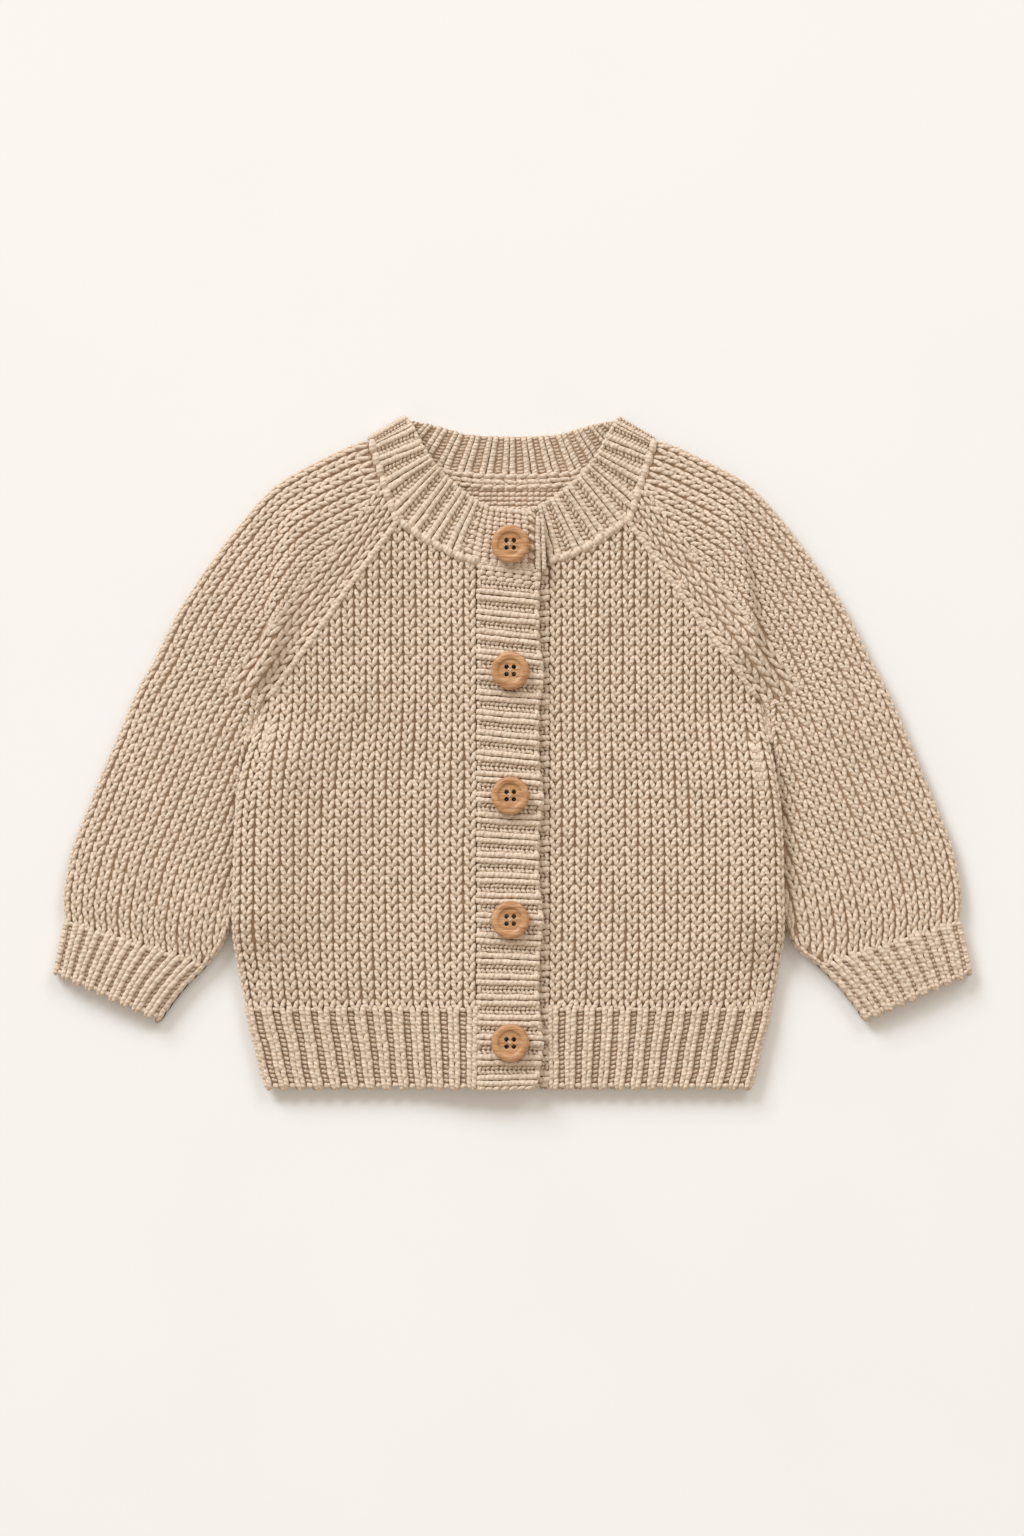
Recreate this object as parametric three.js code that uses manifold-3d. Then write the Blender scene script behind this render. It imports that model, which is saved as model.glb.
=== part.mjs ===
// A hand-knitted baby cardigan, buttoned and laid flat on its back.
// Millimetres, +Z up, +Y towards the neck. The origin is on the resting surface, under the middle.
// "Right" and "left" are the wearer's, so the right front lies at negative X.

import * as THREE from 'three';
import { mergeVertices } from 'three/addons/utils/BufferGeometryUtils.js';
import Module from 'manifold-3d';

const wasm = await Module();
wasm.setup();

// Cloth
const knitWall = 2.8;
const ribWall = 2.2;
const ribRaise = 0.9;
const ribSink = 0.4;
const seamGap = 0.3;
const layerGap = 0.7;
const foldRadius = 3.3;
const frontTop = 2 * knitWall + layerGap;
const edgeTop = 2 * foldRadius;

// Lengths along the body
const hemTop = -114.6;
const hemBottom = -150.5;
const underarm = { x: 113, y: 22 };
const neckCorner = { x: 52, y: 105.5 };
const backCorner = { x: 46, y: 131 };

// The two front bands
const topBand = { seam: -16, edge: 11.7, bulge: 2, bulgeReach: 11, bottom: -151.9, corner: 9 };
const lowerBand = { seam: 16.4, edge: -12.4, bottom: -150.5 };
const bandTop = { middle: 83.45, slope: 0.12 };
const bandRise = { height: 3.35, start: -50, full: -13 };
const bandRibPitch = 9.2;
const selvedgeShare = 0.1;

// Buttons
const buttonX = -1;
const buttonHeights = [93.4, 36.7, -19.4, -75.2, -130.3];
const button = { radius: 8.55, thickness: 3.8, rim: 1.5, dish: 0.9, dishRadius: 6.1, dishSlope: 1.1 };
const buttonHole = { radius: 0.95, offset: 1.75, sides: 6 };
const buttonSegments = 18;

// How far the sides of the body ride up over the sleeves, and where
const sideLiftHeight = 6.5;
const sideLift = { start: 22, full: -14, hold: -72, end: -101 };
const sideSlope = { inner: 44, outer: 7 };

// The lower body lies a little to one side of the neck
const centreShift = { distance: -1.8, start: 26, full: -14 };

// The fronts stand off the back in a soft swell inside each side fold
const sideLoft = { height: 2, inner: 80, crest: 36, outer: 20 };
const loftAlong = { top: 70, underarm: 22, hemStart: -138, hemFull: -100 };

// Bulk of the raglan seams
const raglanBulk = { height: 1.9, reach: 30, start: 26, full: 48 };

// Ribs across each piece
const hemRibs = 12;
const cuffRibs = 8;
const neckRibPitch = 9;
const samplesPerRib = 4;

// Steps up the front and back panels, the same on both so that their side folds meet evenly
const bodyRows = 15;

// Half width of the body about its own centre
const bodySides = [
  { y: -160, half: 107 },
  { y: -150, half: 109.8 },
  { y: -143.3, half: 112 },
  { y: -132.5, half: 114.3 },
  { y: -122.6, half: 117 },
  { y: -114.6, half: 118.6 },
  { y: -103.3, half: 121 },
  { y: -83.5, half: 124 },
  { y: -64, half: 124 },
  { y: -34.9, half: 123.3 },
  { y: -10.6, half: 120.6 },
  { y: 11, half: 115.2 },
  { y: 22, half: 113 },
];

// Front neck edge, from the front opening to the raglan seam
const frontNeck = [
  { x: 0, y: 83.5 },
  { x: 15.5, y: 86 },
  { x: 26, y: 89.4 },
  { x: 36.3, y: 94.7 },
  { x: 43.5, y: 99.7 },
  { x: 52, y: 105.5 },
];

// Back neck edge, from the centre to the raglan seam
const backNeck = [
  { x: 0, y: 124 },
  { x: 14, y: 124.4 },
  { x: 28, y: 125.8 },
  { x: 46, y: 131 },
];

// Gap between the body's side and the sleeve's inner fold. Below zero the body lies over the sleeve.
const sleeveClearance = [
  { y: -90, gap: 7.2 },
  { y: -80, gap: 1.4 },
  { y: -70, gap: -1.6 },
  { y: -60, gap: -2.4 },
  { y: -20, gap: -2.2 },
  { y: -8, gap: -0.9 },
  { y: 2, gap: 0.3 },
  { y: 12, gap: 0.7 },
  { y: 22, gap: 0.7 },
];

// Sleeve stations from neck to cuff. outer is the shoulder and arm fold; front and back are
// the seam ends in the raglan part. Below the underarm, inner is the height on the inner fold.
const sleeveStations = [
  { outerX: 65.7, outerY: 141, front: 0.006, ridgeAt: 0.78, ridge: 0, dome: 0.3 },
  { outerX: 73, outerY: 138.6, front: 0.125, ridgeAt: 0.78, ridge: 0, dome: 0.8 },
  { outerX: 82, outerY: 134.4, front: 0.25, ridgeAt: 0.76, ridge: 0.5, dome: 1.2 },
  { outerX: 96.3, outerY: 127.1, front: 0.38, ridgeAt: 0.74, ridge: 1.7, dome: 1.4 },
  { outerX: 109.6, outerY: 118.1, front: 0.5, ridgeAt: 0.66, ridge: 3.6, dome: 1.2 },
  { outerX: 125.3, outerY: 100.1, front: 0.63, ridgeAt: 0.42, ridge: 5.4, dome: 0.6 },
  { outerX: 138.8, outerY: 82.1, front: 0.75, ridgeAt: 0.21, ridge: 5.5, dome: 0.4 },
  { outerX: 150.5, outerY: 64.1, front: 0.875, ridgeAt: 0.1, ridge: 3.9, dome: 0.7 },
  { outerX: 161.6, outerY: 42, front: 1, ridgeAt: 0.05, ridge: 1.2, dome: 1 },
  { outerX: 169.4, outerY: 28.1, inner: 10, ridgeAt: 0, ridge: 0, dome: 1.6 },
  { outerX: 177.1, outerY: 10.1, inner: -9, ridgeAt: 0, ridge: 0, dome: 1.6 },
  { outerX: 184.7, outerY: -7.9, inner: -27, ridgeAt: 0, ridge: 0, dome: 1.6 },
  { outerX: 191.9, outerY: -25.9, inner: -45, ridgeAt: 0, ridge: 0, dome: 1.7 },
  { outerX: 198, outerY: -41, inner: -61, ridgeAt: 0, ridge: 0, dome: 1.8 },
  { outerX: 201.2, outerY: -55, inner: -77, ridgeAt: 0, ridge: 0, dome: 1.8 },
  { outerX: 202.6, outerY: -66, inner: -88, ridgeAt: 0, ridge: 0, dome: 1.6 },
];
const underarmStation = 8;

// Share of a section's width over which the cap's fold falls away
const ridgeFall = 0.125;

const sleeveEnd = { outerX: 201.6, outerY: -75, innerX: 137, innerY: -95, dome: 1.2 };
const cuffSwell = 1.6;
const cuffEnd = { outerX: 206.8, outerY: -98.6, innerX: 158.6, innerY: -120.2, dome: 0.6 };

// Neckband stations on one side. seam is the picked-up edge, free is the cast-off edge;
// lift is how far the cast-off edge stands up near the shoulder.
const neckFront = [
  { seamX: 15.5, seamY: 86, freeX: 11, freeY: 110.6 },
  { seamX: 26, seamY: 89.4, freeX: 16, freeY: 113.2 },
  { seamX: 36.3, seamY: 94.7, freeX: 22, freeY: 117.2 },
  { seamX: 43.5, seamY: 99.7, freeX: 27.5, freeY: 122 },
  { seamX: 52, seamY: 105.5, freeX: 32.5, freeY: 127, lift: 0.8 },
  { seamX: 56.9, seamY: 120.4, freeX: 36.8, freeY: 132.3, lift: 2.6 },
  { seamX: 60.3, seamY: 130.3, freeX: 40.3, freeY: 138, lift: 3.2 },
  { seamX: 62.8, seamY: 138, freeX: 44.6, freeY: 146.6, lift: 1.8 },
];
const neckFold = { seamX: 64.6, seamY: 142.4, freeX: 48.2, freeY: 152 };
const neckBack = [
  { seamX: 46, seamY: 131, freeX: 34.2, freeY: 146.9 },
  { seamX: 28, seamY: 125.8, freeX: 21, freeY: 143.1 },
  { seamX: 14, seamY: 124.4, freeX: 10.5, freeY: 142.3 },
  { seamX: 0, seamY: 124, freeX: 0, freeY: 142.1 },
];
// The upper end reaches past the centre to the front edge; the lower end lies under it.
const neckUpperEnd = [
  { seamX: -15.3, seamY: 82.3, freeX: -14.4, freeY: 103.6 },
  { seamX: -8, seamY: 82.9, freeX: -8, freeY: 108.4 },
  { seamX: 2, seamY: 83.9, freeX: 2, freeY: 109.4 },
];
const neckLowerEnd = [
  { seamX: -12.2, seamY: 82.5, freeX: -11, freeY: 106.5 },
  { seamX: 2, seamY: 83.9, freeX: 1, freeY: 108.4 },
];
const neckFoldRadius = 3;
const neckFoldSteps = 6;
const castOffShare = 0.08;

const knitColour = 0xd0b79f;
const ribColour = 0xcbb299;
const buttonColour = 0xc18e62;

// Rises from 0 at one value to 1 at the other with level ends.
function smoothBetween(from, to, value) {
  const t = THREE.MathUtils.clamp((value - from) / (to - from), 0, 1);
  return t * t * (3 - 2 * t);
}

// A smooth curve through the rows of a table: each row's slope is that of its neighbours.
function tableCurve(rows, key, name) {
  const slope = (i) => {
    const before = rows[Math.max(i - 1, 0)];
    const after = rows[Math.min(i + 1, rows.length - 1)];
    return (after[name] - before[name]) / (after[key] - before[key]);
  };
  return (value) => {
    const at = THREE.MathUtils.clamp(value, rows[0][key], rows.at(-1)[key]);
    let i = 0;
    while (i < rows.length - 2 && at > rows[i + 1][key]) {
      i += 1;
    }
    const step = rows[i + 1][key] - rows[i][key];
    const t = (at - rows[i][key]) / step;
    const rise = rows[i + 1][name] - rows[i][name];
    const bend = t * (1 - t) * (slope(i) * step * (1 - t) - slope(i + 1) * step * t + rise * (2 * t - 1));
    return rows[i][name] + rise * t + bend;
  };
}

const bodyHalfWidth = tableCurve(bodySides, 'y', 'half');
const frontNeckEdge = tableCurve(frontNeck, 'x', 'y');
const backNeckEdge = tableCurve(backNeck, 'x', 'y');
const sleeveGap = tableCurve(sleeveClearance, 'y', 'gap');

function bodyCentre(y) {
  return centreShift.distance * smoothBetween(centreShift.start, centreShift.full, y);
}

function liftOfSide(y) {
  const up = smoothBetween(sideLift.start, sideLift.full, y);
  return sideLiftHeight * up * (1 - smoothBetween(sideLift.hold, sideLift.end, y));
}

// How far the body's lowest surface is off the ground at a distance in from its side.
function bodyLift(inFromSide, y) {
  return liftOfSide(y) * smoothBetween(sideSlope.inner, sideSlope.outer, inFromSide);
}

function raglanLine(x, corner) {
  const along = (x - corner.x) / (underarm.x - corner.x);
  return corner.y + (underarm.y - corner.y) * along;
}

// Distance from the front raglan seam, on the body's side or the sleeve's.
function raglanDistance(x, y) {
  const run = new THREE.Vector2(underarm.x - neckCorner.x, underarm.y - neckCorner.y).normalize();
  return Math.abs((x - neckCorner.x) * run.y - (y - neckCorner.y) * run.x);
}

// How far the front layer swells away from the back layer inside the side fold.
function frontLoft(inFromSide, y) {
  const across = smoothBetween(sideLoft.inner, sideLoft.crest, inFromSide)
    * smoothBetween(0, sideLoft.outer, inFromSide);
  const along = smoothBetween(loftAlong.top, loftAlong.underarm, y)
    * smoothBetween(loftAlong.hemStart, loftAlong.hemFull, y);
  return sideLoft.height * across * along;
}

// Height of the upper surface of the front layer. The right front climbs onto the lower band.
function frontSurface(side, x, y) {
  const inFromSide = bodyHalfWidth(y) - Math.abs(x - bodyCentre(y));
  const climb = side < 0 ? bandRise.height * smoothBetween(bandRise.start, bandRise.full, x) : 0;
  const seamBulk = raglanBulk.height
    * smoothBetween(raglanBulk.reach, 0, raglanDistance(Math.abs(x), y))
    * smoothBetween(raglanBulk.start, raglanBulk.full, y);
  const edge = (edgeTop - frontTop) * smoothBetween(sideSlope.inner, foldRadius, inFromSide);
  return frontTop + edge + climb + seamBulk + frontLoft(inFromSide, y) + bodyLift(inFromSide, y);
}

// A closed wall between an outside and an inside surface. point gives a place at a depth below
// the outside. Rows from closedFrom onwards join their first and last columns into a tube.
function wallGeometry({ columns, rows, point, outside, inside, closedFrom = rows.length }) {
  const positions = [];
  for (const depth of [outside, inside]) {
    for (const row of rows) {
      for (const column of columns) {
        positions.push(...point(column, row, depth(column, row)));
      }
    }
  }
  const across = columns.length;
  const vertex = (layer, i, j) => (layer * rows.length + j) * across + i;
  const triangles = [];
  const quad = (a, b, c, d) => triangles.push(a, b, c, a, c, d);
  for (let j = 0; j < rows.length - 1; j += 1) {
    for (let i = 0; i < across - 1; i += 1) {
      quad(vertex(0, i, j), vertex(0, i + 1, j), vertex(0, i + 1, j + 1), vertex(0, i, j + 1));
      quad(vertex(1, i, j), vertex(1, i, j + 1), vertex(1, i + 1, j + 1), vertex(1, i + 1, j));
    }
    if (j < closedFrom) {
      const last = across - 1;
      quad(vertex(0, 0, j), vertex(0, 0, j + 1), vertex(1, 0, j + 1), vertex(1, 0, j));
      quad(vertex(0, last, j), vertex(1, last, j), vertex(1, last, j + 1), vertex(0, last, j + 1));
    }
  }
  const end = rows.length - 1;
  for (let i = 0; i < across - 1; i += 1) {
    quad(vertex(0, i, 0), vertex(1, i, 0), vertex(1, i + 1, 0), vertex(0, i + 1, 0));
    quad(vertex(0, i, end), vertex(0, i + 1, end), vertex(1, i + 1, end), vertex(1, i, end));
  }
  return solidGeometry(positions, triangles);
}

// Joins equal vertices and turns every face outwards.
function solidGeometry(positions, triangles) {
  const loose = new THREE.BufferGeometry();
  loose.setAttribute('position', new THREE.Float32BufferAttribute(positions, 3));
  loose.setIndex(triangles);
  const merged = mergeVertices(loose, 1e-3);
  const index = merged.getIndex().array;
  const place = merged.getAttribute('position');
  const corners = [new THREE.Vector3(), new THREE.Vector3(), new THREE.Vector3()];
  let volume = 0;
  for (let i = 0; i < index.length; i += 3) {
    corners.forEach((corner, k) => corner.fromBufferAttribute(place, index[i + k]));
    volume += corners[0].dot(corners[1].clone().cross(corners[2]));
  }
  if (volume < 0) {
    for (let i = 0; i < index.length; i += 3) {
      [index[i + 1], index[i + 2]] = [index[i + 2], index[i + 1]];
    }
  }
  merged.computeVertexNormals();
  return merged;
}

function namedMesh(name, geometry, colour, roughness) {
  const material = new THREE.MeshStandardMaterial({ color: colour, roughness, metalness: 0 });
  const mesh = new THREE.Mesh(geometry, material);
  mesh.name = name;
  return mesh;
}

function evenSteps(from, to, steps) {
  return Array.from({ length: steps + 1 }, (_, i) => from + ((to - from) * i) / steps);
}

// A rib's height: full on the rib, nothing in the furrow, at a distance counted in ribs.
function ribProfile(count) {
  return 0.5 - 0.5 * Math.cos(2 * Math.PI * count);
}

const depthOf = (depth) => () => depth;
const sideArc = [0, 30, 60, 90].map(THREE.MathUtils.degToRad);

// A column of a body panel: a share of the flat part, or an angle round the side fold.
function bodyColumns(shares, leftArc, rightArc) {
  const arcs = (side) => sideArc.slice(1).map((angle) => ({ share: side, angle }));
  return [
    ...(leftArc ? arcs(-1).reverse() : []),
    ...shares.map((share) => ({ share, angle: 0 })),
    ...(rightArc ? arcs(1) : []),
  ];
}

function bodyX(column, y, depth) {
  const flatHalf = bodyHalfWidth(y) - foldRadius;
  const bend = (foldRadius - depth) * Math.sin(column.angle) * Math.sign(column.share);
  return bodyCentre(y) + column.share * flatHalf + bend;
}

function backPoint(column, y, depth) {
  const flatHalf = bodyHalfWidth(y) - foldRadius;
  const inFromSide = bodyHalfWidth(y) - Math.abs(column.share) * flatHalf;
  const lift = bodyLift(inFromSide, y);
  const rise = column.angle > 0 ? foldRadius - (foldRadius - depth) * Math.cos(column.angle) : depth;
  return [bodyX(column, y, depth), y, lift + rise];
}

function frontPoint(side, column, y, depth) {
  if (column.angle > 0) {
    const lift = bodyLift(foldRadius, y);
    const opening = seamGap * Math.sin(column.angle);
    const z = lift + foldRadius + (foldRadius - depth) * Math.cos(column.angle) + opening;
    return [bodyX(column, y, depth), y, z];
  }
  const x = bodyX(column, y, depth);
  return [x, y, frontSurface(side, x, y) - depth];
}

// The share of the flat part at which a column meets a place on the top edge.
function shareAt(x) {
  return x / (underarm.x - foldRadius);
}

function backTop(column) {
  const x = Math.min(Math.abs(column.share) * (underarm.x - foldRadius), underarm.x - foldRadius)
    + foldRadius * Math.sin(column.angle);
  return (x < backCorner.x ? backNeckEdge(x) : raglanLine(x, backCorner)) - seamGap;
}

function frontTopEdge(column) {
  const x = Math.abs(column.share) * (underarm.x - foldRadius) + foldRadius * Math.sin(column.angle);
  return (x < neckCorner.x ? frontNeckEdge(x) : raglanLine(x, neckCorner)) - seamGap;
}

function backPanel() {
  const neck = evenSteps(0, shareAt(backCorner.x), 3);
  const shoulder = evenSteps(shareAt(backCorner.x), 1, 7).slice(1);
  const half = [...neck, ...shoulder];
  const shares = [...half.slice(1).reverse().map((share) => -share), ...half];
  const base = hemTop + seamGap / 2;
  return wallGeometry({
    columns: bodyColumns(shares, true, true),
    rows: evenSteps(0, 1, bodyRows),
    point: (column, row, depth) => backPoint(column, base + (backTop(column) - base) * row, depth),
    outside: depthOf(0),
    inside: depthOf(knitWall),
  });
}

function frontPanel(side) {
  const seam = (side < 0 ? -topBand.seam : lowerBand.seam) + seamGap / 2;
  const neck = evenSteps(0, 1, 4).slice(1).map((t) => shareAt(seam + (neckCorner.x - seam) * t));
  const shoulder = evenSteps(shareAt(neckCorner.x), 1, 7).slice(1);
  const shares = [0, ...neck, ...shoulder].map((share) => side * share);
  const base = hemTop + seamGap / 2;
  // The first column keeps to the straight band seam at every height.
  const point = (column, row, depth) => {
    const topShare = column.share === 0 ? { share: side * shareAt(seam), angle: 0 } : column;
    const y = base + (frontTopEdge(topShare) - base) * row;
    const flatHalf = bodyHalfWidth(y) - foldRadius;
    const seamShare = (side * seam - bodyCentre(y)) / flatHalf;
    const spread = (Math.abs(topShare.share) - shareAt(seam)) / (1 - shareAt(seam));
    const share = seamShare + (side - seamShare) * spread;
    return frontPoint(side, { share, angle: column.angle }, y, depth);
  };
  return wallGeometry({
    columns: side < 0 ? bodyColumns(shares.reverse(), true, false) : bodyColumns(shares, false, true),
    rows: evenSteps(0, 1, bodyRows),
    point,
    outside: depthOf(0),
    inside: depthOf(knitWall),
  });
}

function backHem() {
  return wallGeometry({
    columns: bodyColumns(evenSteps(-1, 1, 12), true, true),
    rows: evenSteps(hemBottom, hemTop - seamGap / 2, 5),
    point: (column, y, depth) => backPoint(column, y, depth),
    outside: depthOf(0),
    inside: depthOf(ribWall),
  });
}

function frontHem(side) {
  const seam = (side < 0 ? -topBand.seam : lowerBand.seam) + seamGap / 2;
  const steps = hemRibs * samplesPerRib;
  const spreads = evenSteps(0, 1, steps);
  const columns = spreads.map((spread) => ({ spread, angle: 0 }));
  columns.push(...sideArc.slice(1).map((angle) => ({ spread: 1, angle })));
  const raise = (column) => ribRaise * ribProfile(column.spread * hemRibs - 0.5) * Math.cos(column.angle);
  return wallGeometry({
    columns,
    rows: evenSteps(hemBottom, hemTop - seamGap / 2, 3),
    point: (column, y, depth) => {
      const flatHalf = bodyHalfWidth(y) - foldRadius;
      const seamShare = (side * seam - bodyCentre(y)) / flatHalf;
      const share = seamShare + (side - seamShare) * column.spread;
      return frontPoint(side, { share, angle: column.angle }, y, depth);
    },
    outside: (column) => ribSink * Math.cos(column.angle) - raise(column),
    inside: depthOf(ribSink + ribWall),
  });
}

// Right-hand edge of the upper band, which swells at each button and is rounded at the bottom.
function topBandEdge(y) {
  const near = (height) => Math.exp(-(((y - height) / topBand.bulgeReach) ** 2));
  const swell = buttonHeights.reduce((sum, height) => sum + near(height), 0);
  const below = Math.max(0, 1 - (y - topBand.bottom) / topBand.corner);
  const rounding = 0.5 * topBand.corner * (1 - Math.sqrt(1 - below * below));
  return topBand.edge + topBand.bulge * Math.min(1, swell) - rounding;
}

// A band of ribs that run across it, between a seam and a free edge. It ends under the neckband.
function bandGeometry({ side, columns, bottom, across, surface }) {
  const ribs = Math.round((bandTop.middle - bottom) / bandRibPitch);
  const atEdge = (column) => (column > 0 && column < 1 ? 1 : 0.5);
  return wallGeometry({
    columns,
    rows: evenSteps(0, 1, ribs * samplesPerRib),
    point: (column, row, depth) => {
      const level = bottom + (bandTop.middle - bottom) * row;
      const x = across(column, level);
      const y = level + side * bandTop.slope * x * row;
      return [x, y, surface(x, y) - depth];
    },
    outside: (column, row) => ribSink - ribRaise * ribProfile(row * ribs) * atEdge(column),
    inside: depthOf(ribSink + ribWall),
  });
}

function buttonholeBand() {
  const seam = topBand.seam + seamGap / 2;
  return bandGeometry({
    side: -1,
    columns: [0, selvedgeShare, 1 - selvedgeShare, 1],
    bottom: topBand.bottom,
    across: (column, y) => seam + (topBandEdge(y) - seam) * column,
    surface: (x, y) => frontSurface(-1, x, y),
  });
}

function buttonBand() {
  const seam = lowerBand.seam - seamGap / 2;
  return bandGeometry({
    side: 1,
    columns: [0, 0.5, 1],
    bottom: lowerBand.bottom,
    across: (column) => lowerBand.edge + (seam - lowerBand.edge) * column,
    surface: () => frontTop,
  });
}

// Places on a sleeve's section, from its front seam or inner fold round to its back seam:
// inner quarter fold, upper layer, arm fold, lower layer, inner quarter fold.
function sleeveColumns(upper, lower) {
  const quarter = [90, 60, 30].map(THREE.MathUtils.degToRad);
  const half = evenSteps(0, Math.PI, 6).slice(1, -1);
  return [
    ...quarter.map((angle) => ({ part: 'upperInner', angle })),
    ...upper.map((along) => ({ part: 'upper', along })),
    ...half.map((angle) => ({ part: 'armFold', angle })),
    ...lower.map((along) => ({ part: 'lower', along: 1 - along })),
    ...[...quarter].reverse().map((angle) => ({ part: 'lowerInner', angle })),
  ];
}

// A place on a raglan seam, just on the sleeve's side of it.
function seamPlace(corner, along) {
  const run = new THREE.Vector2(underarm.x - corner.x, underarm.y - corner.y);
  const away = new THREE.Vector2(-run.y, run.x).setLength(seamGap);
  return new THREE.Vector2(corner.x, corner.y).addScaledVector(run, along).add(away);
}

// A station of the sleeve with its section's ends in plan and its heights.
function sectionEnds(side, station) {
  const outer = new THREE.Vector2(station.outerX, station.outerY);
  if (station.front !== undefined) {
    const front = seamPlace(neckCorner, station.front);
    const back = seamPlace(backCorner, station.front);
    return { ...station, outer, front, back, seamTop: frontSurface(1, front.x, front.y), tube: 0 };
  }
  const besideBody = (y) => bodyHalfWidth(y) + side * bodyCentre(y) + sleeveGap(y);
  const inner = station.innerX === undefined
    ? new THREE.Vector2(besideBody(station.inner), station.inner)
    : new THREE.Vector2(station.innerX, station.innerY);
  return { ...station, outer, front: inner, back: inner.clone(), seamTop: edgeTop, tube: 1 };
}

// The upper surface between its two ends: a soft dome, with the cap's fold stepping down outwards.
function sleeveTop(section, along) {
  const level = THREE.MathUtils.lerp(section.seamTop, edgeTop, smoothBetween(0, 1, along));
  const dome = section.dome * Math.sin(Math.PI * along);
  const up = section.ridgeAt > 0 ? smoothBetween(0, section.ridgeAt, along) : 0;
  const down = 1 - smoothBetween(section.ridgeAt, section.ridgeAt + ridgeFall, along);
  return level + dome + section.ridge * up * down;
}

function sleevePoint(side, section, column, depth) {
  const { outer, front, back, tube } = section;
  const upper = column.part === 'upper' || column.part === 'upperInner' || column.part === 'armFold';
  const end = upper ? front : back;
  const run = outer.clone().sub(end);
  const length = run.length();
  run.divideScalar(length);
  const flat = length - 2 * foldRadius;
  let out;
  let z;
  if (column.part === 'upper') {
    out = foldRadius + flat * column.along;
    z = sleeveTop(section, column.along) - depth;
  } else if (column.part === 'lower') {
    out = foldRadius + flat * column.along;
    z = depth;
  } else if (column.part === 'armFold') {
    const blend = column.angle / Math.PI;
    const mixed = front.clone().lerp(back, blend);
    run.copy(outer).sub(mixed).normalize();
    const centre = outer.clone().addScaledVector(run, -foldRadius);
    const reach = (foldRadius - depth) * Math.sin(column.angle);
    return [
      side * (centre.x + run.x * reach),
      centre.y + run.y * reach,
      foldRadius + (foldRadius - depth) * Math.cos(column.angle),
    ];
  } else {
    const bend = foldRadius - (foldRadius - depth) * Math.sin(column.angle);
    const rise = (foldRadius - depth) * Math.cos(column.angle);
    const squareOut = foldRadius * (1 - Math.sin(column.angle));
    const squareZ = upper ? section.seamTop - depth : depth;
    out = THREE.MathUtils.lerp(squareOut, bend, tube);
    z = THREE.MathUtils.lerp(squareZ, upper ? foldRadius + rise : foldRadius - rise, tube);
  }
  return [side * (end.x + run.x * out), end.y + run.y * out, z];
}

function sleeve(side) {
  const stations = [...sleeveStations, { ...sleeveEnd, ridge: 0, ridgeAt: 0 }];
  const sections = stations.map((station) => sectionEnds(side, station));
  return wallGeometry({
    columns: sleeveColumns(evenSteps(0, 1, 12), evenSteps(0, 1, 4)),
    rows: sections,
    point: (column, section, depth) => sleevePoint(side, section, column, depth),
    outside: depthOf(0),
    inside: depthOf(knitWall),
    closedFrom: underarmStation + 1,
  });
}

function cuff(side) {
  const steps = evenSteps(0, 1, 3);
  const away = new THREE.Vector2(cuffEnd.outerX - sleeveEnd.outerX, cuffEnd.outerY - sleeveEnd.outerY);
  const start = seamGap / away.length();
  const sections = steps.map((step) => {
    const t = start + (1 - start) * step;
    const mix = (key) => THREE.MathUtils.lerp(sleeveEnd[key], cuffEnd[key], t);
    return sectionEnds(side, {
      outerX: mix('outerX'),
      outerY: mix('outerY'),
      innerX: mix('innerX') + cuffSwell * Math.sin(Math.PI * t),
      innerY: mix('innerY'),
      dome: mix('dome'),
      ridge: 0,
      ridgeAt: 0,
    });
  });
  // Ribs stand on the upper half alone; they fade out round both folds.
  const outside = (column) => {
    if (column.part === 'upper') {
      return ribSink - ribRaise * ribProfile(column.along * cuffRibs);
    }
    return column.part.startsWith('lower') ? 0 : ribSink * Math.max(0, Math.cos(column.angle));
  };
  return wallGeometry({
    columns: sleeveColumns(evenSteps(0, 1, cuffRibs * samplesPerRib), evenSteps(0, 1, 4)),
    rows: sections,
    point: (column, section, depth) => sleevePoint(side, section, column, depth),
    outside,
    inside: depthOf(ribSink + ribWall),
    closedFrom: 0,
  });
}

// One station of the neckband: its two edges in plan and the layer it lies in.
function neckStation(side, row, layer) {
  return {
    seam: new THREE.Vector2(side * row.seamX, row.seamY),
    free: new THREE.Vector2(side * row.freeX, row.freeY),
    lift: row.lift ?? 0,
    layer,
    side,
  };
}

// All stations of the band, from its upper end round the back of the neck to its lower end.
function neckStations() {
  const right = [...neckUpperEnd, ...neckFront].map((row) => neckStation(-1, row, 'front'));
  const left = [...neckLowerEnd, ...neckFront].map((row) => neckStation(1, row, 'front'));
  const fold = (side) => neckStation(side, neckFold, 'fold');
  const backRight = neckBack.map((row) => neckStation(-1, row, 'back'));
  const backLeft = neckBack.slice(0, -1).map((row) => neckStation(1, row, 'back'));
  return [...right, fold(-1), ...backRight, ...backLeft.reverse(), fold(1), ...left.reverse()];
}

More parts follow.
